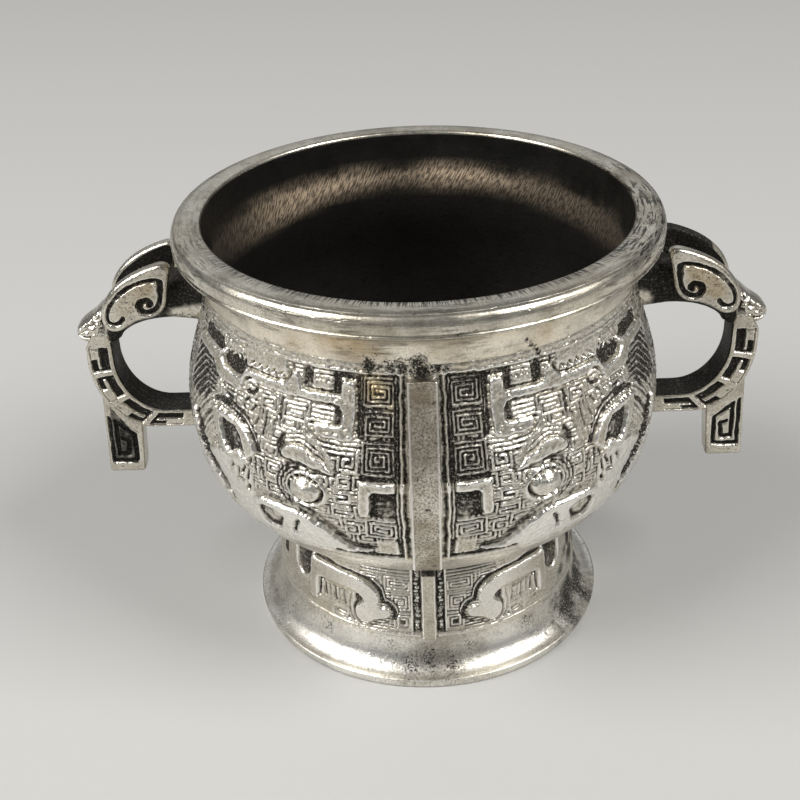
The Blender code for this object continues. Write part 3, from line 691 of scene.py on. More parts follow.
def bowlBody():
    lip, steps, seat, throat = bowl["lip"], bowl["steps"], bowl["seat"], bowl["neck"] - bowl["wall"]
    mouth = bezierCurve([(bowl["mouth"], bowl["top"] - 0.6), (bowl["mouth"] - 0.2, bowl["top"] - 3.4),
                         (throat, neckZ + 2.1), (throat, neckZ)], 12)
    half = (bowl["belly"] - bowl["wall"] - bowl["base"], bowl["bellyRise"] - bowl["floor"])
    bottom = ellipseArc((bowl["base"], bellyZ), half, 0, -90, 16)
    floor = [(10, bottom[-1, 1]), (0, bottom[-1, 1])]
    inner = np.concatenate([mouth[:-1], shoulderCurve(bowl["wall"], 16)[:-1], bottom, floor])[::-1]
    top = bowl["top"] - bowl["clear"]
    lipLine = flowing([(28.0, top - 0.6), (28.08, top - 0.3), (28.3, top - 0.1), (28.8, top - 0.02),
                       (29.6, top), (30.4, top - 0.06), (30.95, top - 0.22), (31.1, top - 0.3),
                       (31.45, top - 0.46), (31.75, top - 0.85), (31.95, top - 1.4), (lip, lipZ + 1.2),
                       (lip - 0.06, lipZ + 0.86), (lip - 0.3, lipZ + 0.7), (lip - 0.12, lipZ + 0.5),
                       (lip - 0.08, lipZ + 0.3), (lip - 0.3, lipZ + 0.05)], each=4)
    cove = wallLine(bowlWall, bowlWall["run"][0], 0.4, 22)
    sunk = wallLine(bowlWall, 1.2, panel["bottom"] - 1.2, 24, -bowl["sunk"])
    lower = wallLine(bowlWall, panel["bottom"] - 0.5, bowlWall["run"][-1], 26)
    under = [(bowl["spigot"], seat), (bowl["spigot"], seat - 0.8), (0, seat - 0.8)]
    path = np.concatenate([inner, lipLine[1:], cove[1:], sunk, lower, under])
    points, faces = closedTube(turnedPoints(path[1:-1], steps), [(0, 0, path[0, 1]), (0, 0, path[-1, 1])])
    lipStart, neckStart = len(inner) - 1, len(inner) + len(lipLine) - 2
    lowStart = neckStart + len(cove) + len(sunk) - 1
    kind = np.searchsorted([lipStart, neckStart, lowStart], np.arange(len(path) - 3), side="right")
    material = np.concatenate([np.repeat(kind, steps), np.zeros(steps), np.full(steps, 3)])
    depth = top - points[:, 2]
    turn = np.arctan2(points[:, 1], points[:, 0])
    hollow = np.arange(len(points)) < lipStart * steps
    away = abs(np.hypot(points[:, 0], points[:, 1]) - crease["radius"])
    lined = (away < crease["half"]) & (depth < crease["depth"]) & ~hollow
    share, low = (np.interp(np.degrees(turn), rubbedSheen["turn"], rubbedSheen[word]) for word in ("share", "low"))
    (start, startSoft), (end, endSoft), (black, blackSoft) = rubbedSheen["start"], rubbedSheen["end"], rubbedSheen["black"]
    # rubbed band inside, brightest on the far wall: rubbed metal lightened further as a painted sheen
    glow = hollow * share * ease(depth - start, startSoft) * ease(low + end - depth, endSoft)
    masks = {"recess": np.where(lined, crease["share"], 0.0), "wearAndSheen": glow}
    for word, spots in neckSoil.items():
        inside = ease(black - depth, blackSoft) if word == "stain" else 0.0
        outside = fading(turn * bowl["neck"], points[:, 2], spots, np.radians(bowl["neck"]))
        masks[word] = np.where(hollow, inside, outside)
    makePiece("bowlBody", points, faces, ["bowl"],
              [finishes[word] for word in ("inside", "lip", "neck", "base")], masks, material)


# Mask panel: places are (degrees from the flange, millimetres down from the neck), levels are millimetres
reliefLevel = {"ground": -0.36, "line": -0.02, "low": 0.04, "plain": 0.18, "band": 0.28, "rim": 0.40,
               "clean": 0.02, "grain": 0.038, "wave": 0.03, "edge": 0.16}


def at(points):  # panel places to sheet millimetres
    return np.asarray(points, float) * (panel["degreeMm"], 1.0)


def curve(points, closed=False):  # a smooth line through panel places
    return flowing(at(points), closed)


def boxPath(a0, a1, s0, s1, corner=0.0):  # a rectangle, with its corners cut by a share of a millimetre
    (x0, y0), (x1, y1) = at([(a0, s0), (a1, s1)])
    c = corner
    return np.array([(x0 + c, y0), (x1 - c, y0), (x1, y0 + c), (x1, y1 - c), (x1 - c, y1), (x0 + c, y1),
                     (x0, y1 - c), (x0, y0 + c)])


# from, to in degrees; from, to in millimetres down; turning hand
maskSpirals = ((6.7, 13.5, 2.3, 5.7, 1), (6.8, 13.0, 6.5, 9.3, -1), (6.8, 13.6, 10.3, 14.2, 1),
               (14.9, 19.1, 11.5, 14.1, -1), (6.8, 13.4, 20.8, 23.7, 1), (32.4, 37.8, 14.6, 17.2, -1),
               (32.5, 37.8, 18.2, 19.9, 1), (27.8, 33.7, 7.0, 9.0, 1), (35.6, 40.2, 6.8, 8.9, -1),
               (16.6, 19.2, 15.1, 16.2, 1), (16.6, 20.0, 17.2, 18.5, -1), (16.4, 20.8, 19.5, 20.7, 1),
               (15.0, 18.2, 21.8, 23.4, -1), (49.6, 54.0, 8.6, 10.0, 1), (42.0, 46.6, 8.6, 10.2, -1))
hiddenRows = ((2.4, 5.4, 1), (6.2, 9.4, -1), (10.2, 13.4, 1), (14.2, 17.4, -1), (18.2, 21.4, 1))
hiddenSpirals = [(a, a + 6.5, s0, s1, hand * way)  # rows of two beside the handle
                 for s0, s1, hand in hiddenRows for a, way in ((74.5, 1), (82.5, -1))]


def maskGround(sheet, degrees):  # the whole field of fine squared spirals and lines that lies behind the mask
    ground, line = reliefLevel["ground"], reliefLevel["line"]
    for i, s in enumerate(np.arange(2.0, 27.0, 2.1)):
        for j, a in enumerate(np.arange(5.8 - (i % 2) * 2.6, 89, 5.2)):
            corners = at([(max(a, 5.8) + 0.4, s + 0.25), (a + 4.6, s + 1.85)])
            thunder(sheet, corners, 1 if (i + j) % 2 else -1, line - 0.04, 0.58, 0.3)
    for a0, a1, s0, s1, hand in (*maskSpirals, *hiddenSpirals):
        nest(sheet, at([(a0, s0), (a1, s1)]), hand, line, ground, 0.54, 0.28)
    press(sheet, boxPath(18.6, 26.2, 6.0, 8.9), ground, 0.12)
    for s in (6.65, 7.25, 7.85, 8.4):
        stroke(sheet, at([(20.8, s), (26.0, s)]), 0.3, line)
    stroke(sheet, at([(34.5, 6.9), (34.5, 9.0)]), 0.5, ground)
    for drop in (0.0, 0.6, 1.2):  # under the horn's foot, then over the brow
        stroke(sheet, flowing(at([(15.0, 10.95), (20, 11.0), (24, 10.7), (26.6, 9.6),
                                  (27.4, 8.8)]) + (0.3 * drop, drop)), 0.34, ground)
        stroke(sheet, flowing(at([(15.0, 10.65), (20, 10.7), (24, 10.4), (26.6, 9.3),
                                  (27.4, 8.5)]) + (0.3 * drop, drop)), 0.28, line)
    press(sheet, curve([(19.7, 15.0), (22, 12.6), (26, 11.1), (30, 10.3), (34.0, 11.4), (33.4, 14.0)],
                       True), ground, 0.2)
    for lift in (0.5, 1.06, 1.6):
        stroke(sheet, flowing(at([(20.2, 15.0), (22.8, 13.4), (26, 12.4), (29, 11.9),
                                  (32.2, 12.4)]) - (0, lift)), 0.28, line)
    for a in (36.0, 37.6):
        stroke(sheet, at([(a, 9.8), (a + 0.5, 12.6)]), 0.3, ground)
    press(sheet, curve([(58, 9.6), (63, 10.4), (68, 12), (71, 15), (69, 17), (62, 17), (58, 13)], True),
          ground, 0.3)
    for lift in np.arange(-2, 6) * 0.6:
        stroke(sheet, flowing(at([(58.4, 11.2), (61, 12.0), (64, 13.6),
                                  (67, 15.6)]) + (0.7 * lift, -0.8 * lift)), 0.3, line)
    for shift in np.arange(4) * 0.62:
        stroke(sheet, flowing(at([(55.4, 15.0), (58.0, 16.5), (60.4, 18.2)]) + (0.6 * shift, -shift)),
               0.3, line)
    press(sheet, at([(57.6, 6.9), (61, 7.2), (74, 4.6), (74, 14.0), (66, 13.4), (58.2, 10.8)]), ground, 0.2)
    for s in np.arange(3.4, 12.4, 0.66):  # nested chevrons beside the handle
        fold = min(66.5 - 1.9 * (s - 7.9), 73.0)
        stroke(sheet, at([(57.6, s + 0.1), (fold, s), (74.0, s + 0.56 * (74.0 - fold))]), 0.32, line)
    for k, a in enumerate((39.4, 40.9, 42.4)):
        stroke(sheet, at([(a, 15.6 + 0.25 * k), (a - 0.9 + 0.7 * k, 17.6 + 0.2 * k)]), 0.34, ground)
    worn = curve([(40.8, 6.9), (47.6, 7.6), (45.6, 10.0), (41.6, 11.6), (39.0, 14.0), (36.2, 13.6),
                  (36.2, 10.2), (40.2, 9.4)], True)
    press(sheet, worn, -0.1, 0.9, 0.5)  # the field between the arm and the ear has worn almost plain
    for dash in (((42.0, 9.0), (43.4, 9.9)), ((44.8, 8.4), (46.2, 9.1)), ((40.6, 10.3), (41.6, 11.3)),
                 ((38.4, 9.9), (38.9, 12.2))):
        stroke(sheet, at(dash), 0.34, ground)
    shallow = np.interp(degrees, [15, 24], [1.0, 0.84])[None]  # the ground rises past the eye
    sheet["h"] *= np.where(sheet["h"] < 0, shallow, 1.0)


# domed ball in a groove crossed by lash marks, a lid round it, more lid lines on its outer side, and the brow
def maskEye(sheet):
    ground, plain = reliefLevel["ground"], reliefLevel["plain"]
    eye = at((27.2, 17.7))

    def ring(width, height, start=0, end=360):
        return eye + ellipseArc((0, 0), (width, height), start, end, 48)
    press(sheet, ring(3.2, 2.6), reliefLevel["line"] + 0.02, 0.2)
    for reach in (2.95, 3.5, 4.05):
        stroke(sheet, ring(reach, reach * 0.84, -75, 58), 0.26, ground)
    stroke(sheet, ring(2.3, 1.98), 0.5, ground - 0.04, 0.2)
    stroke(sheet, ring(2.68, 2.3, 55, 305), 0.3, plain, 0.18)
    for turn in np.radians((212, 236, 262, 288, 312, 334)):
        spoke = np.array([np.cos(turn), np.sin(turn)])
        stroke(sheet, np.stack([eye + spoke * (1.9, 1.6), eye + spoke * (2.7, 2.3)]), 0.2, plain - 0.06, 0.14)
    boss(sheet, eye + (0, 0.08), (2.02, 1.74), 0.84, 2.2)
    press(sheet, curve([(20.4, 14.9), (22.8, 13.5), (25.4, 12.6), (28.6, 11.9), (31.4, 12.2), (32.8, 13.0),
                        (32.4, 13.8), (28, 14.1), (24, 14.6)], True),
          reliefLevel["band"] - 0.04, 0.4)


# horn: upright bar, long arm with a lobe, a dip and a raised end, and a hook, with dark channels round it
def maskHorn(sheet):
    ground, line, band = reliefLevel["ground"], reliefLevel["line"], reliefLevel["band"]
    stroke(sheet, at([(14.3, 2.2), (14.3, 9.6)]), 0.8, ground)
    stroke(sheet, at([(14.1, 2.4), (14.1, 9.4)]), 0.2, line - 0.1)
    horn = at([(15.5, 3.4), (16.0, 2.9), (18.2, 2.9), (18.7, 3.4), (18.8, 4.3), (19.6, 4.8), (28.9, 4.8),
               (29.5, 4.2), (30.0, 3.3), (30.8, 2.9), (31.6, 3.2), (33.2, 4.4), (34.2, 4.8), (46.4, 4.8),
               (48.2, 6.4), (55, 6.4), (56.4, 5.6), (57.2, 4.9), (71, 4.9), (71.9, 5.7), (71, 6.5),
               (61, 6.6), (58.4, 8.0), (48, 8.1), (44.6, 6.2), (21.0, 5.9), (19.2, 6.2), (18.5, 6.9),
               (18.5, 8.0), (19.2, 8.6), (25.2, 8.7), (25.4, 9.3), (24.4, 10.0), (22.6, 10.3),
               (16.4, 10.25), (15.6, 9.7)])
    press(sheet, horn, band, 0.22)
    stroke(sheet, at([(14.8, 2.4), (19.6, 2.4)]), 0.5, ground)
    press(sheet, boxPath(18.95, 21.0, 2.1, 4.5, 0.3), ground)
    for s in (2.35, 2.95, 3.55, 4.1):
        stroke(sheet, at([(21.2, s), (26.3, s)]), 0.3, line)
    stroke(sheet, at([(19.8, 4.55), (28.4, 4.55)]), 0.26, ground)
    press(sheet, boxPath(26.5, 29.1, 2.2, 4.5, 0.3), ground)
    press(sheet, boxPath(18.6, 20.6, 6.3, 8.4, 0.5), ground)
    stroke(sheet, curve([(32.4, 3.2), (33.8, 4.4), (36, 4.6), (46.2, 4.55)]), 0.26, ground)
    for a in np.arange(35.0, 46, 2.3):  # scallops along the arm
        stroke(sheet, ellipseArc(at((a, 4.3)), (0.45, 0.7), 180, 330, 10), 0.28, ground)
    pocket = curve([(46.6, 4.2), (47.4, 5.0), (48.6, 6.2), (52, 6.35), (55, 6.1), (56.2, 5.4), (56.0, 4.6),
                    (54, 4.0), (50, 3.6)], True)
    press(sheet, pocket, ground - 0.04, 0.3)
    for reach in (0.6, 1.2, 1.8):
        stroke(sheet, ellipseArc(at((51.4, 4.4)), (reach * 1.5, reach), 190, 350, 18), 0.24, line - 0.06)
    stroke(sheet, curve([(54.6, 6.5), (56.6, 6.2), (57.6, 5.3), (57.0, 4.6), (56.0, 4.6)]),
           0.46, reliefLevel["rim"])
    press(sheet, boxPath(57.4, 68.5, 3.1, 4.7, 0.3), ground - 0.06, 0.3)
    for s in (2.2, 2.8):
        stroke(sheet, at([(56, s), (69, s)]), 0.28, line)
    stroke(sheet, curve([(42.6, 6.3), (44.6, 5.9), (46.4, 6.4), (46.9, 7.3)]), 0.36, ground)
    stroke(sheet, curve([(42.6, 7.0), (43.6, 7.6), (45.4, 7.7)]), 0.5, ground)
    stroke(sheet, curve([(58.6, 8.3), (61.4, 6.9), (70, 6.85)]), 0.4, ground)


# nose hook and its pocket, dark along the edges
def maskNose(sheet):
    ground, line, band = reliefLevel["ground"], reliefLevel["line"], reliefLevel["band"]
    press(sheet, boxPath(4.4, 12.2, 16.5, 20.3, 0.2), ground)
    press(sheet, boxPath(6.2, 10.6, 17.6, 20.0, 0.4), line - 0.24, 0.9)
    stroke(sheet, at([(4.2, 14.8), (13.8, 14.8)]), 0.5, ground)
    press(sheet, at([(4.4, 15.2), (12.8, 15.2), (14.2, 15.6), (14.7, 16.5), (14.7, 19.4), (14.2, 20.0),
                     (12.6, 20.0), (12.1, 19.5), (12.1, 17.2), (11.5, 16.5), (4.4, 16.5)]), band, 0.22)


# ear: plain leaf under a broad dark line, with a sunk field
def maskEar(sheet):
    ground, line, plain = reliefLevel["ground"], reliefLevel["line"], reliefLevel["plain"]
    over = flowing(at([(39.8, 14.6), (42.8, 12.2), (46, 11.3), (50, 10.8), (54.5, 10.9),
                       (57.4, 11.5)]) + (0.2, -0.25))
    stroke(sheet, over[:21], 1.1, ground, 0.2)
    stroke(sheet, over[18:], 0.65, ground, 0.2)
    stroke(sheet, curve([(40.6, 13.6), (43, 12.0), (46, 11.1), (50, 10.6)]), 0.2, line - 0.08)
    press(sheet, curve([(40.8, 14.9), (42.8, 13.4), (46, 12.2), (50.5, 11.8), (55, 11.9), (57.8, 12.2),
                        (57, 13.4), (55, 15.2), (52, 17.0), (49, 18.3), (46, 17.4), (43, 16.2)], True),
          plain + 0.02, 0.3)
    press(sheet, curve([(45.0, 14.4), (47.0, 13.1), (50.4, 12.8), (53.2, 12.8), (53.6, 13.4), (52.3, 15.2),
                        (50.4, 16.3), (49.2, 16.8), (47.8, 16.1), (46.2, 15.8), (44.8, 16.4), (43.8, 16.3)],
                       True), ground - 0.06, 0.3)
    press(sheet, curve([(46.0, 14.4), (48.6, 13.6), (49.6, 14.4), (48, 15.6), (46.4, 15.4)], True),
          line - 0.26, 0.8)


# borders: double line under the neck, upright beside the flange, double line at the bottom
def maskBorders(sheet):
    ground, line, plain = reliefLevel["ground"], reliefLevel["line"], reliefLevel["plain"]
    press(sheet, boxPath(-2, 91, -1, 1.9), reliefLevel["low"] - 0.04, 0.2)
    for s, width, height in ((0.85, 0.3, plain - 0.12), (1.55, 0.36, plain - 0.04)):
        stroke(sheet, at([(4.9, s), (91, s)]), width, height, 0.18)
    stroke(sheet, at([(6.0, 2.0), (6.0, 26.6)]), 0.6, ground)
    stroke(sheet, at([(5.0, 1.5), (5.0, 28.2)]), 0.34, plain - 0.04, 0.16)
    stroke(sheet, at([(5.95, 2.2), (5.95, 24.0)]), 0.18, line - 0.06)
    press(sheet, boxPath(-2, 4.1, -1, 31), ground + 0.12)
    press(sheet, boxPath(-2, 3.5, -1, 31), reliefLevel["low"])
    stroke(sheet, at([(5.6, 27.8), (12, 27.85), (19, 27.7)]), 0.46, ground)
    stroke(sheet, at([(11.4, 26.7), (14.2, 27.1)]), 0.3, ground + 0.06)
    press(sheet, boxPath(4.5, 91, 28.15, 31), 0.02, 0.4)


def maskPanel(degrees, rows):
    level = reliefLevel
    ground, line, plain, band = level["ground"], level["line"], level["plain"], level["band"]
    sheet = newSheet(degrees * panel["degreeMm"], rows, ground)
    maskGround(sheet, degrees)
    # plain fields: cheek, over the horn's arm, and the square in the lower corner
    cheek = curve([(42.6, 17.8), (46, 17.0), (50, 17.4), (55, 17.6), (60, 19.0), (70, 20), (72, 25), (46, 23),
                   (43, 21)], True)
    press(sheet, cheek, level["low"], 0.6)
    press(sheet, boxPath(33.4, 46.8, 1.8, 4.6, 0.2), plain - 0.06)
    press(sheet, boxPath(6.0, 11.4, 24.4, 26.8, 0.2), level["low"] - 0.02, 0.3)
    # jaw with a soft trench over it
    trench = curve([(13.8, 26.1), (16.6, 25.9), (19.6, 24.5), (22.3, 22.8), (25, 21.8), (27.7, 21.0),
                    (33, 20.7), (40, 20.6), (43.4, 21.4)])
    stroke(sheet, trench[:31], 1.5, -0.3, 0.8)
    stroke(sheet, trench[28:], 0.7, -0.2, 0.6)
    jaw = curve([(12.4, 26.5), (15.7, 26.7), (18.4, 26.2), (21, 24.8), (23.7, 23.3), (26, 22.5), (29, 21.9),
                 (33.7, 21.6), (40, 21.5), (43, 22.2)])
    under = at([(50, 22.8), (60, 23.6), (90, 24), (90, 30), (23, 30), (22.5, 27.2), (14, 27.0)])
    press(sheet, np.concatenate([jaw, under]), plain, 0.3)
    stroke(sheet, jaw[12:50] + (0.05, 0.25), 0.5, plain + 0.1, 0.4)
    leaf = curve([(34.6, 23.6), (37, 22.8), (40.5, 22.9), (42.4, 23.8), (42.3, 25.4), (40.6, 26.5),
                  (37.4, 26.5), (36, 25.4)], True)
    press(sheet, leaf, ground, 0.3)
    press(sheet, curve([(35.6, 23.8), (39.4, 23.2), (41.2, 24.0), (39.6, 25.4), (37.2, 25.3)], True),
          line - 0.12, 0.7)
    boss(sheet, at((33.3, 24.9)), (0.9, 0.8), plain + 0.08)
    stroke(sheet, curve([(30.4, 23.3), (31.6, 24.4), (32.6, 25.9)]), 0.6, ground, 0.3)
    maskHorn(sheet)
    maskNose(sheet)
    maskEye(sheet)
    maskEar(sheet)
    dents = (((44.4, 17.8), (45.8, 19.0)), ((43.2, 18.0), (44.0, 19.6)), ((46.8, 18.6), (47.3, 19.8)),
             ((45.4, 20.0), (47.4, 20.3)), ((43.4, 20.3), (44.6, 21.2)), ((48.6, 18.2), (49.8, 19.2)))
    for dent in dents:
        stroke(sheet, at(dent), 0.44, ground, 0.2)
    # groove down the cheek's far side with a notched ridge beyond it
    away = curve([(66.2, 15.6), (63.8, 18.2), (60.0, 20.2), (56.2, 21.9), (53.8, 24.0), (52.7, 25.6)])
    stroke(sheet, away + (1.7, 0.5), 1.7, band, 0.4)
    stroke(sheet, away[:25], 1.4, ground - 0.08, 0.4)
    stroke(sheet, away[22:], 0.7, ground, 0.4)
    for k in (6, 12, 18, 24):
        stroke(sheet, np.stack([away[k], away[k] + (2.6, 0.9)]), 0.6, ground, 0.3)
    maskBorders(sheet)
    # worn mould, casting skin, then the sheet runs into the neck and the lower belly level with them
    y = sheet["y"][:, None]
    for cell, size in ((1.3, 0.06), (0.45, 0.035)):
        wobbled(sheet, cell, size)
    finishSheet(sheet, level)
    shade = newSheet(sheet["x"], rows, 0.0)  # darker in the chevrons and up the far groove's wall
    press(shade, at([(58.4, 3.0), (75, 3.0), (75, 13.6), (66, 13.0), (59.0, 10.4)]), 0.5, 0.8)
    stroke(shade, away[:25] + (0.5, 0.2), 0.9, 0.9, 0.4)
    stroke(shade, away[22:] + (0.3, 0.1), 0.4, 0.8, 0.3)
    sheet["recess"] = np.maximum(sheet["recess"] + np.where(shade["h"] > 0.5, 0, shade["h"]), shade["h"])
    bare = newSheet(sheet["x"], rows, 0.0)
    press(bare, np.concatenate([jaw, under]), 1.0, 1.0)
    press(bare, cheek, 0.9, 1.0)
    press(bare, leaf, 0.0, 0.6)
    for dent in dents:
        stroke(bare, at(dent), 0.8, 0.0, 0.4)
    stroke(bare, away + (0.6, 0.2), 2.0, 0.0, 0.6)
    stroke(bare, away + (1.8, 0.5), 1.0, 1.3, 0.4)
    kept = ease(y - 0.4, 0.3) * ease(28.75 - y, 0.3)
    sheet["h"] = sheet["h"] * kept - 0.12 * (1 - kept)
    column = ease(14.4 - degrees, 1.0) * ease(degrees - 4.5, 0.6) * ease(y - 1.9, 0.6) * ease(15.2 - y, 0.6)
    sheet["recess"] = sheet["recess"] + 0.42 * column  # the first column keeps dirt on its lines too
    sheet["wearAndSheen"] = np.maximum(sheet["wearAndSheen"] * (1 - 0.7 * column), 0.85 * bare["h"])  # rubbed cheek and jaw
    sheet["recess"] *= ease(y - 0.4, 0.5) * ease(28.4 - y, 0.5)
    return sheet


# marks on the belly: degrees from the flange, millimetres down from the neck, reach, share
bellySoil = {
    "FrontLeft": {
        "stain": (
            (10.8, 3.4, 2.6, 1.0), (13.6, 2.2, 1.6, 0.8), (7.2, 5.8, 1.2, 0.6)),
        "soil": (
            (0.0, 0.2, 1.8, 1.1), (0.0, 1.3, 2.3, 1.3), (4.6, 0.8, 1.6, 1.1), (7.2, 0.8, 1.3, 1.1),
            (9.8, 0.8, 1.0, 0.9), (12.2, 0.8, 1.3, 1.5), (15.2, 1.2, 0.6, 0.8), (11.6, 4.0, 2.2, 0.35),
            (10.0, 8.0, 2.4, 0.35), (9.6, 18.6, 2.0, 0.4))},
    "FrontRight": {
        "stain": (
            (9.0, 1.0, 1.2, 0.7),),
        "soil": (
            (0.0, 0.2, 1.8, 1.1), (0.0, 1.3, 2.3, 1.3), (3.4, 0.8, 1.7, 1.1), (5.6, 0.9, 1.2, 0.9),
            (27.2, 0.1, 0.5, 1.4), (27.9, 0.7, 0.5, 1.4), (28.5, 1.2, 0.55, 1.4), (29.0, 1.8, 0.5, 1.3),
            (29.6, 2.4, 0.5, 1.2), (31.6, 1.6, 0.7, 0.8), (10.0, 4.0, 3.2, 0.5), (10.0, 8.0, 2.8, 0.55),
            (10.4, 12.4, 2.6, 0.35), (8.6, 18.8, 2.4, 0.4), (16.0, 24.0, 2.4, 0.3))}}


def bellyRelief():
    fine = np.linspace(0, panel["fineTo"], panel["fineCols"], endpoint=False)
    degrees = np.r_[fine, np.linspace(panel["fineTo"], 90, panel["cols"] - panel["fineCols"])]
    sheet = maskPanel(degrees, np.linspace(panel["top"], panel["bottom"], panel["rows"]))

    def soiled(word):
        own = dict(sheet)
        for kind, spots in bellySoil.get(word, {}).items():
            own[kind] = fading(sheet["x"][None], sheet["y"][:, None], spots, panel["degreeMm"])
        # soil fills the lines it lies on
        own["recess"] = sheet["recess"] * (1 - panel["soilFill"] * own.get("stain", 0))
        return own
    reliefSectors("bellyRelief", bowlWall, bowl["sunk"] - panel["overlap"], degrees, soiled)


bowlBody()
bellyRelief()
print("bowl made")

# Foot: a turned ring with a polished flare, and four relief sectors on its upright side
foot = {"top": footHigh[2], "edge": footHigh[0], "topRadius": 20.6, "waist": 21.7, "flareZ": 6.0,
        "lowEdge": 1.3, "rim": 2.0, "wall": 1.9, "sunk": 0.7, "steps": 256, "innerBlack": 0.75}
footPanel = {"top": 0.5, "bottom": 13.1, "degreeMm": 0.37, "rows": 112, "cols": 296, "overlap": 0.2}


def footOutside():  # a slight taper, then a quarter ellipse that flares to the table
    flare = ellipseArc((foot["edge"], foot["flareZ"]),
                       (foot["edge"] - foot["waist"], foot["flareZ"] - foot["lowEdge"]), 180, 270, 40)
    side = np.stack([np.linspace(foot["topRadius"], foot["waist"], 30),
                     np.linspace(foot["top"], foot["flareZ"], 30)], -1)
    return np.concatenate([side[:-1], flare])


footWall = wallOf(footOutside(), foot["top"])
# marks on the flare: degrees round, height, reach, share; the brightest spots are painted highlights
footSoilAndHighlights = {
    "soil": (
        (-90, 3.0, 3.0, 0.9), (-97, 2.4, 3.0, 0.85), (-83, 2.4, 3.0, 0.85), (-104, 4.6, 2.0, 0.7),
        (-76, 4.4, 2.0, 0.7), (-52, 5.0, 3.0, 0.7), (-130, 4.6, 2.8, 0.7)),
    "stain": (
        (-158, 5.6, 3.4, 0.7), (-146, 3.4, 2.6, 0.5), (-90, 3.6, 3.6, 0.35)),
    "recess": (
        (-32, 2.6, 5.0, 0.82), (-23, 4.4, 5.2, 0.86), (-40, 2.0, 3.0, 0.66), (-12, 3.4, 5.0, 0.84),
        (-18, 2.4, 5.2, 0.86), (-27, 3.4, 5.2, 0.86), (-5, 4.4, 5.4, 0.84), (-35, 4.2, 4.0, 0.74),
        (-152, 4.2, 2.8, 0.5), (-164, 3.4, 3.0, 0.5)),
    # painted highlights where the two key lamps reflect, at the flare's front left and front right
    "wearAndSheen": (
        (-118, 2.4, 4.4, 1.0), (-128, 3.0, 3.4, 0.8), (-62, 2.4, 4.0, 0.9))}
# marks on its upright side: degrees from the flange, millimetres down, reach, share
sideSoil = {
    "FrontRight": (
        (62, 10.4, 2.8, 0.85), (72, 10.0, 4.2, 0.95), (82, 10.0, 4.0, 0.9), (66, 8.6, 3.0, 0.8),
        (77, 8.4, 3.6, 0.85), (88, 9.6, 3.6, 0.85)),
    "FrontLeft": (
        (70, 9.8, 3.0, 0.6),)}


def footBody():
    reach, steps = foot["edge"], foot["steps"]
    top = wallLine(footWall, 0, 0.7, 4)
    sunk = wallLine(footWall, 1.2, footPanel["bottom"] - 1.0, 12, -foot["sunk"])
    flare = wallLine(footWall, footPanel["bottom"] - 0.35, footWall["run"][-1], 30)
    edge = flowing([flare[-1], (reach + 0.02, 1.15), (reach, 0.6), (reach - 0.15, 0.08),
                    (reach - 0.4, 0.0)], each=3)
    rim = reach - foot["rim"]
    inner = ellipseArc((rim, foot["flareZ"]), (rim - foot["waist"] + foot["wall"], foot["flareZ"]),
                       270, 180, 14)
    bore = [(foot["topRadius"] - foot["wall"], foot["top"])]
    path = np.concatenate([top, sunk, flare, edge[1:], inner, bore])
    points = turnedPoints(path, steps).reshape(-1, 3)
    faces = facing(points, [gridQuads(len(path), steps, wrapCols=True, wrapRows=True)])
    hidden = np.arange(len(path)) >= len(path) - len(inner) - 1
    across = np.arctan2(points[:, 1], points[:, 0]) * reach
    masks = {"recess": np.repeat(np.where(hidden, foot["innerBlack"], 0.0), steps)}
    for kind, spots in footSoilAndHighlights.items():
        masks[kind] = np.maximum(masks.get(kind, 0), fading(across, points[:, 2], spots, np.radians(reach)))
    makePiece("footBody", points, faces, ["ring_foot"], [finishes["base"]], masks)


footLevel = {**reliefLevel, "ground": -0.30, "line": -0.02, "plain": 0.12, "band": 0.26, "grain": 0.018}


def on(points):  # foot panel places, degrees from the flange and millimetres down, to sheet millimetres
    return np.asarray(points, float) * (footPanel["degreeMm"], 1.0)


def onBox(a0, a1, s0, s1):
    return on(rectangle(a0, a1, s0, s1))


# dragon: cloud-shaped head, body that runs back and turns down into the tail
dragonBody = flowing(on([(14.3, 9.3), (14.7, 8.7), (16.0, 8.4), (17.6, 8.5), (18.6, 8.0), (18.7, 7.2),
                         (19.5, 6.2), (21.5, 5.3), (24.5, 4.7), (30, 4.35), (38, 4.2), (46, 4.2),
                         (49.2, 4.4), (49.8, 6.6), (49.8, 10.4), (46, 10.5), (45.2, 9.6), (45.1, 7.6),
                         (44.4, 6.8), (38, 6.5), (30, 6.5), (27, 6.9), (25, 7.4), (24.3, 7.9),
                         (24.8, 8.3), (26.3, 8.6), (27.5, 9.2), (27.8, 10.0), (26.8, 10.8), (24.8, 11.3),
                         (22.8, 11.4), (21.5, 11.0), (19, 10.5), (16.5, 10.2), (14.9, 9.9)]), True, 4)
dragonGroove = flowing(on([(69.4, 3.6), (71.4, 5.4), (71.0, 8.0)]))


# plain field at the back, then lines and nested rectangles beside the flange
def dragonField(sheet):
    ground, line, plain = footLevel["ground"], footLevel["line"], footLevel["plain"]
    press(sheet, onBox(24, 92, 2.0, 12.4), plain - 0.06, 0.6)
    for s in (2.0, 2.5, 3.0):
        stroke(sheet, on([(6.2, s + 0.26), (26, s + 0.26)]), 0.24, ground + 0.06)
        stroke(sheet, on([(6.2, s), (30, s)]), 0.24, line)
    for s in np.arange(3.4, 12.0, 0.47):
        stroke(sheet, on([(6.2, s), (24, s)]), 0.25, line - 0.03)
    for a0, a1, s0, s1, hand in ((7.2, 16.4, 3.5, 5.4, 1), (7.2, 13.6, 6.1, 8.6, -1),
                                 (7.0, 12.6, 9.2, 11.6, 1)):
        nest(sheet, on([(a0, s0), (a1, s1)]), hand, line, ground + 0.04, 0.46, 0.25)
    for a in (18.0, 19.4):
        stroke(sheet, on([(a, 3.3), (a - 0.5, 5.4)]), 0.24, line)


